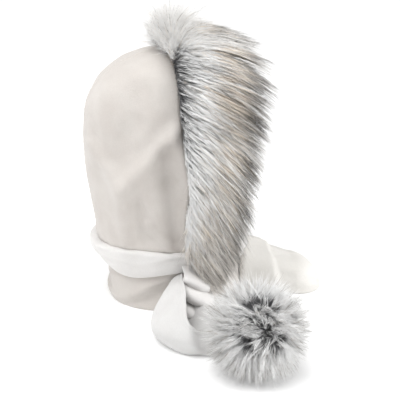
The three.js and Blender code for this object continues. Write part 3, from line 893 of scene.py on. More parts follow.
past_band = soft_step(shade, along, band_end, band_stop)
pale = soft_step(shade, fibre_tone, 0.02, 0.16, 0.1, 1.0)
past_band = reckon(shade, "MULTIPLY", past_band, pale)
at_tip = soft_step(shade, along, 0.70, 0.82)
tips_dyed = soft_step(shade, fibre_tone, 0.06, 0.26, 0.04, 1.0)
tip_share = reckon(shade, "MULTIPLY", at_tip, tips_dyed)
silver = mix_colours(shade, past_root, shade_in.outputs["Root"], shade_in.outputs["Band"])
bodied = mix_colours(shade, past_band, silver, shade_in.outputs["Body"])
tipped = mix_colours(shade, tip_share, bodied, shade_in.outputs["Tip"])
past_middle = soft_step(shade, along, 0.42, 0.62)
dark_fibre = reckon(shade, "MULTIPLY", past_middle, soft_step(shade, fibre_tone, 0.45, 0.85))
darkened = mix_colours(shade, dark_fibre, PLAIN, DARK_DYE)
coloured = mix_colours(shade, 1.0, tipped, darkened, "MULTIPLY")
shade.links.new(coloured, shade_out.inputs["Color"])
shine = soft_step(shade, along, 0.0, 0.5, 0.75, 0.5)
shade.links.new(shine, shade_out.inputs["Roughness"])


def fur_finish(name, root, band, body, tip, root_end, band_end):
    """A fur finish: four dyes, and the shares of a fibre where root and silver band end."""
    finish, shader = new_finish(
        name, Specular_IOR_Level=0.4, Sheen_Weight=0.3, Sheen_Roughness=0.4,
    )
    tree = finish.node_tree
    dyed = tree.nodes.new("ShaderNodeUVMap")
    dyed.uv_map = BAKE_MAP
    parts = tree.nodes.new("ShaderNodeSeparateXYZ")
    use = tree.nodes.new("ShaderNodeGroup")
    use.node_tree = shade
    for label, colour in (("Root", root), ("Band", band), ("Body", body), ("Tip", tip)):
        use.inputs[label].default_value = (*colour, 1)
    use.inputs["Root End"].default_value = root_end
    use.inputs["Band End"].default_value = band_end
    tree.links.new(dyed.outputs["UV"], parts.inputs["Vector"])
    tree.links.new(parts.outputs["X"], use.inputs["Tone"])
    tree.links.new(parts.outputs["Y"], use.inputs["Along"])
    tree.links.new(use.outputs["Color"], shader.inputs["Base Color"])
    tree.links.new(use.outputs["Roughness"], shader.inputs["Roughness"])
    return finish


taupe_fur = fur_finish(
    "taupe_fur", root=(0.035, 0.035, 0.04), band=(0.98, 0.98, 0.975),
    body=(0.96, 0.865, 0.745), tip=(0.035, 0.024, 0.016), root_end=0.24, band_end=0.56,
)
silver_fur = fur_finish(
    "silver_fur", root=(0.16, 0.16, 0.165), band=(0.98, 0.98, 0.975),
    body=(0.98, 0.975, 0.96), tip=(0.5, 0.49, 0.47), root_end=0.32, band_end=0.7,
)
print("fur finishes:", taupe_fur.name, silver_fur.name)

# %% [markdown]
# ## One fibre
# Fur is the same fibre thousands of times. One is modelled as a thin three-sided cone,
# cut into rings so that it can bend. Each copy is then bent along its own path. Three
# sides are enough: on a fibre half a millimetre thick nobody can count them.

# %% Model the fibre
FIBRE_CUTS = (0.3, 0.6, 0.85)
THINNING = 2.4  # a fibre stays thick for most of its length and thins near its tip

deselect()
bpy.ops.mesh.primitive_cone_add(
    vertices=3, radius1=1, radius2=0, depth=1, end_fill_type="NGON", location=(0, 0, 0.5),
)
fibre_model = bpy.context.object
bpy.ops.object.transform_apply(location=True, rotation=True, scale=True)
bpy.ops.object.mode_set(mode="EDIT")
for cut in FIBRE_CUTS:
    bpy.ops.mesh.select_all(action="SELECT")
    bpy.ops.mesh.bisect(plane_co=(0, 0, cut), plane_no=(0, 0, 1))
bpy.ops.object.mode_set(mode="OBJECT")

fibre_points = read_points(fibre_model.data)
fibre_faces = [list(face.vertices) for face in fibre_model.data.polygons]
fibre_stations = np.array([0.0, *FIBRE_CUTS, 1.0])
fibre_ring = np.abs(fibre_points[:, 2:3] - fibre_stations).argmin(axis=1)
cone_width = np.maximum(1 - fibre_points[:, 2:3], 1e-6)
fibre_spoke = np.where(fibre_points[:, 2:3] < 1, fibre_points[:, :2] / cone_width, 0)
fibre_width = 1 - fibre_stations ** THINNING
bpy.data.objects.remove(fibre_model)
print("fibre:", len(fibre_points), "vertices,", len(fibre_faces), "faces")

# %% [markdown]
# ## Copying the fibre
# The copies could be objects or instances, but hundreds of thousands of those are slow and
# don't export. All the fibres of one region are therefore written into one mesh, with the
# fibre's rings set along each path and its spokes turned square to it.

# %% Copy the fibre along paths
OVER_TABLE = 0.0002
SPOKE_TURN = np.array([0.31, 0.83, 0.47])  # no fibre runs this way, so it can turn them all


def grow(name, paths, radius, tones, dyed_from, finish, slow):
    """A piece of fur. Paths are (fibres, stations, 3) in millimetres. A fibre with a slow
    above 1 keeps its root's colour for longer."""
    count = len(paths)
    places = to_frame(paths)
    run = unit(np.gradient(places, axis=1))
    first = unit(np.cross(run, np.broadcast_to(SPOKE_TURN, run.shape)))
    second = np.cross(run, first)
    wide = (radius[:, None] * MM * fibre_width[None, :])[:, fibre_ring, None]
    spokes = first[:, fibre_ring] * fibre_spoke[None, :, :1]
    spokes = spokes + second[:, fibre_ring] * fibre_spoke[None, :, 1:]
    points = places[:, fibre_ring] + wide * spokes
    points[..., 2] = np.maximum(points[..., 2], NECK[2] + OVER_TABLE)

    corners = np.concatenate([np.array(face) for face in fibre_faces])
    sizes = np.array([len(face) for face in fibre_faces])
    shifts = np.arange(count)[:, None] * len(fibre_points)
    loops = (corners[None, :] + shifts).ravel()
    starts = np.concatenate([[0], np.cumsum(np.tile(sizes, count))[:-1]])

    mesh = bpy.data.meshes.new(name)
    mesh.vertices.add(count * len(fibre_points))
    mesh.vertices.foreach_set("co", points.astype(np.float32).ravel())
    mesh.loops.add(len(loops))
    mesh.loops.foreach_set("vertex_index", loops.astype(np.int32))
    mesh.polygons.add(len(starts))
    mesh.polygons.foreach_set("loop_start", starts.astype(np.int32))
    mesh.update(calc_edges=True)
    mesh.polygons.foreach_set("use_smooth", np.ones(len(starts), bool))
    dyed = mesh.uv_layers.new(name=BAKE_MAP)
    along_fibre = fibre_stations[fibre_ring][corners][None, :] ** slow[:, None]
    uv = np.empty((count, len(corners), 2), np.float32)
    uv[..., 0] = tones[:, None]
    uv[..., 1] = dyed_from[:, None] + (1 - dyed_from[:, None]) * along_fibre
    dyed.data.foreach_set("uv", uv.ravel())
    mesh.materials.append(finish)

    piece = bpy.data.objects.new(name, mesh)
    bpy.context.scene.collection.objects.link(piece)
    seat(piece, None)


def grow_parts(parts, paths, radius, tones, dyed_from, finish, slow):
    """Grows one lot of fibres as several pieces; parts are names with the fibres chosen."""
    for name, chosen in parts:
        grow(
            name, paths[chosen], radius[chosen], tones[chosen], dyed_from[chosen],
            finish, slow[chosen],
        )


print("triangles in a fibre:", sum(len(face) - 2 for face in fibre_faces))

# %% [markdown]
# ## Locks
# Long pile clumps: some ten fibres share one way to lie and close up towards their tip. So
# only the locks get a path of their own, a curve with four control points. The fibres of a
# lock copy that path, a little apart, a little shorter, and a few of them astray.

# %% Locks of fibres
STRAY_SHARE = 0.07
STRAY_MOST = 5.5  # millimetres that a stray fibre's tip leaves its lock


def bend(start, leave, arrive, end, at):
    """Places at shares along a curve that leaves start by one handle and reaches end by another."""
    t = at[..., None]
    return (
        (1 - t) ** 3 * start + 3 * (1 - t) ** 2 * t * leave
        + 3 * (1 - t) * t ** 2 * arrive + t ** 3 * end
    )


def locks_to_fibres(guide, across, over, width, count, chance, gather=0.6, short=0.3, stray=1.2):
    """Fibres round each guide: apart at the root, closer at the tip, no two the same length.

    The guide holds four arrays, the control points of every lock. Count is the fibres in one
    lock, and the result is their paths and the lock that each belongs to."""
    locks = len(guide[0])
    owner = np.repeat(np.arange(locks), count)
    total = len(owner)
    spot = np.sqrt(chance.random(total)) * np.broadcast_to(width, locks)[owner]
    angle = chance.random(total) * 2 * math.pi
    spread = across[owner] * (spot * np.cos(angle))[:, None]
    spread = spread + over[owner] * (spot * np.sin(angle))[:, None]
    reach = 1 - short * chance.random(total) ** 1.5
    at = fibre_stations[None, :] * reach[:, None]
    path = bend(*(points[owner][:, None] for points in guide), at)
    gather = np.broadcast_to(gather, locks)[owner]
    closing = 1 - gather[:, None] * fibre_stations[None, :] ** 0.8
    path = path + spread[:, None] * closing[..., None]
    away = chance.normal(0, 1, (total, 1, 3)) * fibre_stations[None, :, None] ** 2
    size = np.where(chance.random(total) < STRAY_SHARE, STRAY_MOST, stray)
    return path + away * size[:, None, None], owner


def distance(start, end):
    """How far the ends of locks are from their starts, as a column."""
    return np.linalg.norm(end - start, axis=1)[:, None]


print("fur helpers ready")

# %% [markdown]
# ## Fur trim
# The trim is a strip of faux fur sewn to the hood's front edge. Its fibres leave the seam
# outwards, then sweep forward and down over the face opening, and they fan upwards at the
# crown. Both of its faces are described by a few sections, from the seam round to the free
# edge. The backing lies at a share of that form, and the fibres' tips reach all of it.

# %% The trim's form
TRIM_FOOT = 5.2  # row of the hood where the trim starts
BACKING = 0.42  # how far the backing reaches, as a share of the fur's outer form
UPRIGHT_FROM = 0.93  # share of the edge past which the fur stands straight up
STEP = 0.01  # between two places whose direction is measured
# outwards, forwards and down from the hood's edge, from the lower end to the crown
OUTER_FORM = np.array([
    [(1, 1, 0), (8, 2, 4), (20, 10, 16), (28, 38, 38), (18, 54, 72)],
    [(1, 1, 0), (10, 1, 1), (26, 8, 6), (34, 42, 26), (18, 66, 58)],
    [(1, 1, 0), (12, 1, 0), (30, 5, 2), (38, 52, 16), (18, 90, 40)],
    [(1, 1, 0), (15, -6, 0), (38, -4, 0), (42, 50, 8), (20, 106, 22)],
    [(1, 1, 0), (17, -26, 0), (46, -28, 0), (44, 24, 0), (12, 100, 0)],
], float)
INNER_FORM = np.array([
    [(-2, 1, 0), (9, 10, 20), (14, 36, 50), (18, 54, 72)],
    [(-2, 1, 0), (-1, 18, 10), (5, 46, 36), (18, 66, 58)],
    [(-2, 1, 0), (-4, 24, 5), (-1, 60, 22), (18, 90, 40)],
    [(-2, 1, 0), (-4, 25, 2), (0, 68, 10), (20, 106, 22)],
    [(-2, 1, 0), (-6, 25, 0), (-6, 66, 0), (12, 100, 0)],
], float)


def trim_edge(share):
    """The hood's front edge on the near side, and the direction out of it."""
    low = TRIM_FOOT / (len(HOOD_ROWS) - 1)
    up = low + np.minimum(share, 0.999) * (1 - low)
    near_edge = np.full_like(up, -2.0)
    here = hood_surface(up, near_edge)
    run = hood_surface(np.minimum(up + STEP, 1), near_edge) - hood_surface(up - STEP, near_edge)
    run[:, 1] = 0
    run = unit(run)
    outward = np.stack([-run[:, 2], 0 * up, run[:, 0]], axis=-1)
    lift = np.clip((share - UPRIGHT_FROM) / (1 - UPRIGHT_FROM), 0, 1)[:, None]
    return here, unit(outward * (1 - lift) + np.array([0, 0, 1.0]) * lift)


def trim_place(across, reach, level, form=OUTER_FORM):
    """A place in the trim. Across is -1 at the near lower end, 0 at the crown and 1 at the far
    lower end; reach runs from the seam to the tip; level is 0 on the backing, 1 at the tips."""
    share = 1 - np.abs(across)
    here, outward = trim_edge(share)
    out, forward, down = sample_each(sample(form, share), reach).T
    size = BACKING + (1 - BACKING) * level
    place = here + outward * (out * size)[:, None]
    place[:, 1] -= forward * size
    place[:, 2] -= down * size
    place[:, 0] *= np.where(across > 0, -1, 1)
    return place


def slopes(across, reach, level, form=OUTER_FORM):
    """Directions at places in the trim: along the seam, towards the tip, and outwards."""
    here = trim_place(across, reach, level, form)
    seamward = trim_place(across + STEP, reach, level, form) - here
    onward = trim_place(across, np.minimum(reach + STEP, 1), level, form)
    onward = onward - trim_place(across, np.maximum(reach - STEP, 0), level, form)
    normal = np.cross(unit(onward), unit(seamward))
    away = trim_place(across, reach, level + 0.2, form) - here
    normal *= np.sign(np.sum(normal * away, axis=1, keepdims=True) + 1e-9)
    return unit(seamward), unit(onward), unit(normal)


print("trim sections:", len(OUTER_FORM))

# %% [markdown]
# ## The trim's backing
# Real faux fur is knitted into a backing cloth, which shows wherever the pile opens. It is
# laid as one grid round the strip's section, a long way below the tips, and dyed dark.

# %% Lay the backing
BACKING_STEPS = 150
BACKING_ROUND = 28
BACKING_REACH = 0.92  # share of the section, so that it ends inside the fur


def backing_surface(u, v):
    """U goes round the strip's section and v along the seam."""
    across = np.clip(2 * v - 1, -1, 1)
    outer = trim_place(across, np.clip(u * 2, 0, 1) * BACKING_REACH, 0 * u)
    inner = trim_place(across, np.clip(2 - u * 2, 0, 1) * BACKING_REACH, 0 * u, INNER_FORM)
    return np.where((u < 0.5)[:, None], outer, inner)


deselect()
bpy.ops.mesh.primitive_grid_add(
    x_subdivisions=BACKING_ROUND, y_subdivisions=BACKING_STEPS, size=1,
)
backing = take_new("fur_backing")
flat = read_points(backing.data)
backing_points = backing_surface(flat[:, 0] + 0.5, flat[:, 1] + 0.5)
write_points(backing.data, to_frame(backing_points))
bpy.ops.object.shade_smooth()
backing.data.materials.append(fleece("fur_ground", (0.36, 0.35, 0.34), (0.25, 0.24, 0.23)))
seat(backing, "fur_trim")

# %% [markdown]
# ## Places for the locks
# Fur could be grown from a particle system, but its fibres would have to be combed by
# hand. Here each lock gets its start, its end and the directions between them by rule, for
# thousands of locks at once, and seeded random numbers make no two of them alike.

# %% Random helpers
LOCK_FIBRES = 10
LOCK_WIDTH = 2.7
FIBRE_RADIUS = 0.28
DARKEST = 0.98
DARK_STEP = 0.6  # how much darker the few odd fibres are
LINE_STEPS = 400
LINE_REACH = 0.4

comb = np.random.default_rng(5)


def even_across(count, chance):
    """Places along the seam, as close together at the crown as down the sides."""
    steps = np.linspace(-1, 1, LINE_STEPS)
    line = trim_place(steps, 0 * steps + LINE_REACH, 0 * steps)
    lengths = np.concatenate([[0], np.cumsum(np.linalg.norm(np.diff(line, axis=0), axis=1))])
    spots = (np.arange(count) + chance.random(count)) / count * lengths[-1]
    return np.interp(spots, lengths, steps)


def vary_tones(tones, spread, chance, odd_share, odd_step=DARK_STEP, palest=0.0):
    """Each fibre's tone, from its lock's. A few odd fibres are much darker."""
    varied = tones + chance.normal(0, spread, len(tones))
    varied += np.where(chance.random(len(tones)) < odd_share, odd_step, 0)
    return np.clip(varied, palest, DARKEST)


def vary_radii(count, chance, least=0.7):
    return FIBRE_RADIUS * (least + 0.6 * chance.random(count))


print("random helpers ready")

# %% [markdown]
# ## Combing the outside of the trim
# Down the sides the locks start all over the backing, sweep forward and hang. At the crown
# they stand, and lean back or forward by their place in the strip. Neighbours lean
# together, because the sway is read from soft noise.

# %% Where each outer lock starts and ends
LOCKS_OUTER = 4000
WAVE = 30  # locks this far apart in millimetres lean differently
TIP_LOW = 18  # millimetres over the table below which no tip hangs, apart from a few
# millimetres that the tips hang down, from the lower end to the crown
DROOP = np.array([[10], [44], [42], [32], [16]], float)
FOOT_BACK = 14  # millimetres that the seam's locks fall back at the lower end
SIDE_BACK = 15  # the same, up the side
CREST_BACK = 10  # the same, at the crown
TIP_JITTER = 2.5

across = even_across(LOCKS_OUTER, comb)
comb.shuffle(across)
row = (np.arange(LOCKS_OUTER) + 0.5) / LOCKS_OUTER
root_reach = 0.01 + 0.8 * row ** 1.25
share = 1 - np.abs(across)
crown = ramp(share, 0.72, 0.95)
foot = 1 - ramp(share, 0.05, 0.5)
start = trim_place(across, root_reach, 0 * across - 0.04)
sway = ripple(start, WAVE, 11)
lift = ripple(start, WAVE, 12)

side_end = 0.60 + 0.40 * np.minimum(row / 0.5, 1) + comb.normal(0, 0.05, LOCKS_OUTER)
fan_end = 0.08 + 0.92 * row ** 0.8 + comb.normal(0, 0.07, LOCKS_OUTER)
end_reach = np.clip(side_end * (1 - crown) + fan_end * crown, 0.08, 1)
end_level = 0.95 + 0.3 * comb.random(LOCKS_OUTER) + 0.12 * lift
end_level += 0.2 * ramp(end_reach, 0.6, 1) * ramp(share, 0.1, 0.4)
end_level += 0.16 * ramp(share, 0.55, 0.85) * ramp(row, 0.4, 0.8)
end_across = across + 0.02 * sway + comb.normal(0, 0.008, LOCKS_OUTER)
end = trim_place(np.clip(end_across, -1, 1), end_reach, end_level)

droop = sample(DROOP, share)[:, 0] * end_reach ** 1.4
end[:, 2] -= droop * (0.75 + 0.5 * comb.random(LOCKS_OUTER))
end[:, 1] += (1 - ramp(share, 0, 0.16)) * (1 - row) * FOOT_BACK
end[:, 1] += (1 - ramp(share, 0.1, 0.5)) * (1 - row) * SIDE_BACK
end[:, 2] = np.maximum(end[:, 2], TIP_LOW + 8 * comb.random(LOCKS_OUTER))
leaning_back = ramp(share, 0.88, 0.98) * (1 - ramp(row, 0.0, 0.3))
end[:, 1] += leaning_back * CREST_BACK
end[:, 2] -= leaning_back * 12 * comb.random(LOCKS_OUTER)
end += comb.normal(0, TIP_JITTER, end.shape)
print("outer locks:", LOCKS_OUTER)

# %% [markdown]
# ## Bending the outer locks
# A hair leaves its backing steeply and then gives way to the comb and to its own weight.
# The first handle of each lock's curve therefore stands off the backing, and the last one
# follows the outer form and points down, more so down the sides than at the crown.

# %% Bend the outer locks
HANG = 0.55  # how strongly a lock's tip points down

seamward, onward, normal = slopes(across, root_reach, 0 * across)
_, end_flow, _ = slopes(np.clip(end_across, -0.98, 0.98), end_reach, end_level)
length = distance(start, end)
down_side = 1 - crown[:, None]
hang = np.array([0, 0, -1.0]) * (HANG * down_side)
flow = unit(end_flow * 0.5 * down_side + unit(end - start) + hang)
stand = (0.3 + 0.45 * ramp(row, 0.02, 0.16))[:, None]
leave = start + unit(stand * normal + (1.1 - 0.7 * stand) * onward) * length * 0.32
arrive = end - flow * length * 0.34
paths, owner = locks_to_fibres(
    (start, leave, arrive, end), seamward, onward,
    LOCK_WIDTH * (0.6 + 0.8 * comb.random(LOCKS_OUTER)), LOCK_FIBRES, comb,
    gather=0.72, short=0.24,
)
print("outer fibres:", len(paths))

# %% [markdown]
# ## Dyeing the outside of the trim
# Near the seam the roots show dark and the pile is silver, and away from it the fur turns
# taupe in soft patches. The tones follow the row that a lock stands in, and noise breaks
# that up. The crown and the lower ends are paler: partly their own pale pile, and partly
# painted light where the fur shades itself.

# %% Tones of the outer fibres
# The crown and foot terms make those fibres paler: partly their pale pile, partly painted light
# where the fur shades itself.
tone = 0.04 + 0.24 * row - 0.6 * crown * (1 - 0.5 * row) - 0.22 * foot
uneven = comb.normal(0, 0.10, LOCKS_OUTER) + 0.42 * ripple(end, 22, 13)
tone += uneven * (1 - 0.5 * foot)
tones = vary_tones(tone[owner], 0.16, comb, 0.12, palest=0.08 * foot[owner])
dark_rooted = 1.1 * ramp(share, 0.12, 0.5) - 0.1 + 0.7 * ripple(start, 24, 17)
dark_rooted = np.clip(dark_rooted, 0, 1) * (1 - ramp(root_reach, 0.35, 0.6))
slow = 1 + (0.5 + 0.35 * ramp(share, 0.6, 0.9)) * dark_rooted
dyed_from = 0.2 * (1 - dark_rooted)
radius = vary_radii(len(owner), comb)
print("mean tone:", round(float(tones.mean()), 3))

# %% Grow the outer fur in six pieces
REGIONS = (
    ("fur_near_low", -1.01, -0.66), ("fur_near_middle", -0.66, -0.33), ("fur_near_crown", -0.33, 0),
    ("fur_far_crown", 0, 0.33), ("fur_far_middle", 0.33, 0.66), ("fur_far_low", 0.66, 1.01),
)
place = across[owner]
grow_parts(
    [(name, (place >= low) & (place < high)) for name, low, high in REGIONS],
    paths, radius, tones, dyed_from[owner], taupe_fur, slow[owner],
)

# %% [markdown]
# ## Crown fan
# At the crown the strip turns over from one side to the other, so its fur springs up and
# back like a crest. Its locks could be the side locks turned up, but their roots lie too
# flat. They are set on their own row, each leaning by its own angle.

# %% Fan the fur at the crown
FAN_LOCKS = 420
FAN_SHARE = 0.20  # of the seam, on each side of the crown
FAN_FROM, FAN_TO = math.radians(-62), math.radians(70)
FAN_SPLAY = 0.62
FAN_LENGTH = 60
FAN_DROOP = 9

across = FAN_SHARE * np.linspace(-1, 1, FAN_LOCKS) + comb.normal(0, 0.01, FAN_LOCKS)
comb.shuffle(across)
turned = comb.random(FAN_LOCKS)
start = trim_place(across, 0.01 + 0.16 * turned, 0 * across - 0.04)
lean = FAN_FROM + (FAN_TO - FAN_FROM) * turned + comb.normal(0, 0.16, FAN_LOCKS)
lean *= np.where(lean < 0, 1 - 3 * np.abs(across), 1)
splay = np.sin(across / FAN_SHARE * 1.1) * FAN_SPLAY + comb.normal(0, 0.14, FAN_LOCKS)
aim = unit(np.stack([splay, -np.sin(lean), np.cos(lean)], axis=-1))
rise = unit(0.5 * aim + np.stack([0.4 * splay, 0 * lean, 1 + 0 * lean], axis=-1))
length = FAN_LENGTH * (0.8 + 0.3 * comb.random(FAN_LOCKS)) * (1 + 0.35 * turned ** 2)
length = length[:, None]
end = start + aim * length
end[:, 2] -= FAN_DROOP * np.abs(np.sin(lean)) * (0.5 + comb.random(FAN_LOCKS))
leave = start + rise * length * 0.33
arrive = end - unit(aim - np.array([0, 0, 0.35])) * length * 0.3
sideways = unit(np.cross(aim, np.array([0.1, 0.9, 0.2])))
paths, owner = locks_to_fibres(
    (start, leave, arrive, end), sideways, np.cross(aim, sideways), 2.8, LOCK_FIBRES, comb,
    gather=0.45, short=0.62,
)
# The fan's pale tones and late dye start make it silver-white: partly its pale pile, partly painted
# light where its dense fibres shade each other.
tones = vary_tones(comb.normal(-0.06, 0.06, FAN_LOCKS)[owner], 0.05, comb, 0.05)
back_root = 0.06 + 0.24 * ramp(turned, 0.1, 0.6)
grow(
    "fur_crown_fan", paths, vary_radii(len(owner), comb, 0.6), tones, back_root[owner],
    taupe_fur, np.ones(len(owner)),
)

# %% [markdown]
# ## Lower ends
# The strip is cut off at its lower ends, and the last fur simply hangs there, over the
# scarf. These locks start on the end of the backing and fall down and a little forward.

# %% Hang the fur at the lower ends
FOOT_LOCKS = 340
FOOT_SHARE = 0.13  # of the seam, up from each lower end
FOOT_LENGTH = 42
# The hanging fibres are painted paler, with no dark root and pale tones: partly the pile's own
# look, partly painted light where they hang in shade.
FOOT_ROOT = 0.32  # hanging fibres show no dark root

share = FOOT_SHARE * comb.random(FOOT_LOCKS)
across = (share - 1) * np.where(np.arange(FOOT_LOCKS) % 2, 1, -1)
set_on = 0.01 + 0.75 * comb.random(FOOT_LOCKS)
start = trim_place(across, set_on, 0 * across)
side = np.sign(across)
aim = unit(np.stack([
    side * (0.32 - 0.2 * set_on), -0.1 - 1.0 * set_on + comb.normal(0, 0.14, FOOT_LOCKS),
    -1 + 0 * side,
], axis=-1))
length = FOOT_LENGTH * (0.75 + 0.4 * comb.random(FOOT_LOCKS)) * (1 + 1.6 * share)
length = length[:, None]
end = start + aim * length
outwards = np.stack([side, -0.2 + 0 * side, 0 * side], axis=-1)
leave = start + unit(aim + 0.9 * outwards) * length * 0.35
arrive = end - unit(aim - 0.1 * outwards) * length * 0.3
paths, owner = locks_to_fibres(
    (start, leave, arrive, end), unit(np.cross(aim, outwards)), outwards, 3, LOCK_FIBRES, comb,
)
lock_tones = 0.05 + comb.normal(0, 0.06, FOOT_LOCKS)
tones = vary_tones(lock_tones[owner], 0.06, comb, 0.1, 0.5)
grow(
    "fur_ends", paths, vary_radii(len(owner), comb, 0.6), tones, 0 * tones + FOOT_ROOT,
    taupe_fur, np.ones(len(owner)),
)

# %% [markdown]
# ## Underfur at the seam
# Beside the seam the pile stands open, so its dark roots show as a line. A row of short
# dark locks gives that line, and a few of them stick back over the fleece.

# %% Dark underfur along the seam
SEAM_LOCKS = 620
SEAM_FIBRES = 6
BACK_OVER_SHARE = 0.22
BACK_OVER_HEIGHT = 3.2
SEAM_TONE = 0.82
SEAM_THIN = 0.8  # this hair's thickness beside the other fur's
SEAM_SLOW = 2.0

across = even_across(SEAM_LOCKS, comb)
back_over = comb.random(SEAM_LOCKS) < BACK_OVER_SHARE
start = trim_place(across, 0 * across + 0.01, 0 * across + 0.1)
far = 0.16 + 0.16 * comb.random(SEAM_LOCKS)
end = trim_place(np.clip(across + comb.normal(0, 0.006, SEAM_LOCKS), -1, 1), far, 1.05 + 0 * far)
_, onward, normal = slopes(across, 0 * across + 0.05, 0 * across)
backwards = onward * (2 + 3.5 * comb.random(SEAM_LOCKS))[:, None]
end = np.where(back_over[:, None], start + normal * BACK_OVER_HEIGHT - backwards, end)
end[:, 2] -= np.where(back_over, 1, 5) * comb.random(SEAM_LOCKS)
length = distance(start, end)
leave = start + unit(normal + 0.5 * unit(end - start)) * length * 0.35
arrive = end - unit(end - start) * length * 0.3
paths, owner = locks_to_fibres(
    (start, leave, arrive, end), unit(np.cross(normal, onward)), onward, 1.6, SEAM_FIBRES, comb,
    gather=0.3,
)
tones = np.clip(SEAM_TONE + comb.normal(0, 0.14, len(owner)), 0.3, DARKEST)
radius = SEAM_THIN * vary_radii(len(owner), comb, 0.6)
grow(
    "fur_seam", paths, radius, tones, 0 * tones, taupe_fur, 0 * tones + SEAM_SLOW,
)

# %% [markdown]
# ## Fur towards the face
# The strip's other side faces the opening and is in shadow. It needs fewer and plainer
# locks than the outside: they only have to hide the backing.

# %% Comb the fur that faces the opening
LOCKS_INNER = 800

across = even_across(LOCKS_INNER, comb)
comb.shuffle(across)
row = (np.arange(LOCKS_INNER) + 0.5) / LOCKS_INNER
root_reach = 0.04 + 0.76 * row
end_reach = np.clip(0.62 + 0.38 * row / 0.7 + comb.normal(0, 0.04, LOCKS_INNER), 0, 1)
end_level = 0.7 + 0.35 * comb.random(LOCKS_INNER)
start = trim_place(across, root_reach, 0 * across - 0.04, INNER_FORM)
end = trim_place(across, end_reach, end_level, INNER_FORM)
end += comb.normal(0, TIP_JITTER, end.shape)
seamward, onward, normal = slopes(across, root_reach, 0 * across, INNER_FORM)
length = distance(start, end)
leave = start + unit(normal * 0.5 + onward) * length * 0.34
arrive = end - unit(end - start) * length * 0.3
paths, owner = locks_to_fibres(
    (start, leave, arrive, end), seamward, onward,
    LOCK_WIDTH * (0.7 + 0.6 * comb.random(LOCKS_INNER)), LOCK_FIBRES, comb,
)
tones = np.clip(0.4 + comb.normal(0, 0.2, len(owner)), 0.02, DARKEST)
radius = vary_radii(len(owner), comb)
dyed_from = 0.2 * ramp(row, 0.05, 0.22)
near = across[owner] < 0
grow_parts(
    [("fur_face_near", near), ("fur_face_far", ~near)],
    paths, radius, tones, dyed_from[owner], taupe_fur, np.ones(len(owner)),
)

# %% [markdown]
# ## Pompom
# The pompom is a stuffed ball of the same fur on a small core. The core is a ball
# primitive, and the locks stand on it like spokes. They are spread by the golden angle,
# which leaves no rows and no bare poles, and none grow where the scarf comes in.

# %% The pompom's core and its spokes
POMPOM_MIDDLE = np.array([-253.0, -57.0, 57.0])
POMPOM_CORE = 31
POMPOM_LOCKS = 1450
STALK = unit(right_surface(np.array([0.5]), np.array([1.0]))[0] - POMPOM_MIDDLE)
STALK_WIDTH = 0.45  # radians round the scarf's end without fur
GOLDEN = math.pi * (3 - math.sqrt(5))

deselect()
bpy.ops.mesh.primitive_uv_sphere_add(segments=48, ring_count=32, radius=POMPOM_CORE * MM)
core = take_new("pompom_core")
write_points(core.data, read_points(core.data) + to_frame(POMPOM_MIDDLE))
bpy.ops.object.shade_smooth()
core.data.materials.append(fleece("pompom_ground", (0.42, 0.42, 0.42), (0.3, 0.3, 0.3)))
seat(core, "pompom")

brush = np.random.default_rng(9)
order = np.arange(POMPOM_LOCKS)
level = 1 - 2 * (order + 0.5) / POMPOM_LOCKS
wide = np.sqrt(1 - level ** 2)
spokes = np.stack([wide * np.cos(order * GOLDEN), wide * np.sin(order * GOLDEN), level], axis=-1)
spokes = unit(spokes + brush.normal(0, 0.05, spokes.shape))
spokes = spokes[np.arccos(np.clip(spokes @ STALK, -1, 1)) > STALK_WIDTH]
print("pompom locks:", len(spokes))

# %% [markdown]
# ## Where the pompom's fur leans
# A pressed pompom doesn't stand like a brush. Soft noise turns its locks in swirls, and
# where it was parted they lean away on both sides and show the dark roots. Its front hangs
# down a little under its own weight.

# %% Partings and swirls
# directions of each parting's two ends, and how wide it is in radians
PARTINGS = (
    ((-0.16, -0.04, 0.99), (-0.65, 0.27, 0.71), 0.3),
    ((-0.89, -0.03, 0.46), (-0.93, -0.37, 0.02), 0.24),
    ((-0.58, 0.56, 0.59), (-0.89, 0.42, 0.17), 0.24),
)
PARTING_PUSH = 0.5
FOLLOW_SHARE = 0.7  # locks that lean away from a parting; the others cross it
SWIRL = 1.3
SWIRL_SIZE = 42
SWIRL_BALL = 60  # radius of the ball on which the noise is read
SAG = 0.12
FRONT_SAG = 0.9

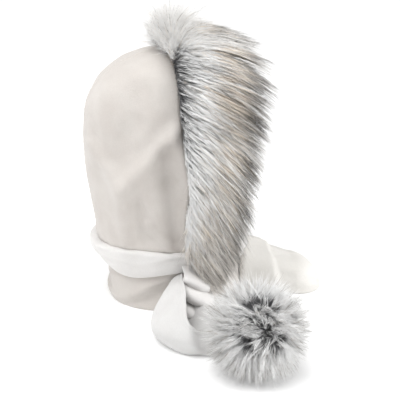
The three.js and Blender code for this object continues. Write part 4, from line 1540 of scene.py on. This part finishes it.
swirls = [ripple(spokes * SWIRL_BALL, SWIRL_SIZE, seed) for seed in (21, 22, 23)]
leaning = spokes + SWIRL * np.stack(swirls, axis=-1)
follows = np.where(brush.random(len(spokes)) < FOLLOW_SHARE, 1.0, 0.0)
near_parting = np.zeros(len(spokes))
for one_end, other_end, wide in PARTINGS:
    one_end, run = np.array(one_end), np.array(other_end) - np.array(one_end)
    along_parting = np.clip((spokes - one_end) @ run / (run @ run), 0, 1)
    away = spokes - unit(one_end + along_parting[:, None] * run)
    apart = np.linalg.norm(away, axis=1)
    push = PARTING_PUSH * follows * bump(apart - 0.08, wide)
    leaning += unit(away) * push[:, None]
    near_parting = np.maximum(near_parting, bump(apart, 1.5 * wide))
towards_front = ramp(-spokes[:, 0], 0.2, 0.8) * (1 - ramp(spokes[:, 2], -0.1, 0.5))
leaning[:, 2] -= SAG + FRONT_SAG * towards_front
leaning = unit(leaning + brush.normal(0, 0.34, spokes.shape))
print("locks near a parting:", int((near_parting > 0.5).sum()))

# %% [markdown]
# ## Growing the pompom's fur
# The locks are bent in the same way as the trim's. Near a parting they are wider and less
# gathered, so that the dark roots show as soft patches and not as lines.

# %% Grow the pompom's fur
POMPOM_REACH = 71
POMPOM_FIBRES = 11
POMPOM_LOCK_WIDTH = 2.4

reach = POMPOM_REACH * (0.84 + 0.24 * brush.random(len(spokes)))
start = POMPOM_MIDDLE + spokes * (POMPOM_CORE - 2)
end = POMPOM_MIDDLE + unit(spokes + 0.85 * leaning) * reach[:, None]
leave = start + unit(spokes * 0.8 + leaning * 0.5) * 14
arrive = end - unit(unit(end - start) + 0.3 * leaning) * 13
sideways = unit(np.cross(spokes, np.array([0.2, 0.3, 0.93])))
width = POMPOM_LOCK_WIDTH * (0.6 + 0.8 * brush.random(len(spokes))) * (1 + 0.7 * near_parting)
paths, owner = locks_to_fibres(
    (start, leave, arrive, end), sideways, np.cross(spokes, sideways), width, POMPOM_FIBRES,
    brush, gather=0.66 - 0.46 * near_parting, short=0.4, stray=1.5,
)
paths[..., 2] = np.maximum(paths[..., 2], 1.0 + 2 * brush.random(len(paths))[:, None])
tones = vary_tones(brush.normal(0, 0.2, len(spokes))[owner], 0.12, brush, 0.12)
radius = vary_radii(len(owner), brush)
slow = 0.85 + 1.1 * near_parting
upper = spokes[owner, 2] > 0
grow_parts(
    [("pompom_fur_upper", upper), ("pompom_fur_lower", ~upper)],
    paths, radius, tones, 0 * tones, silver_fur, slow[owner],
)
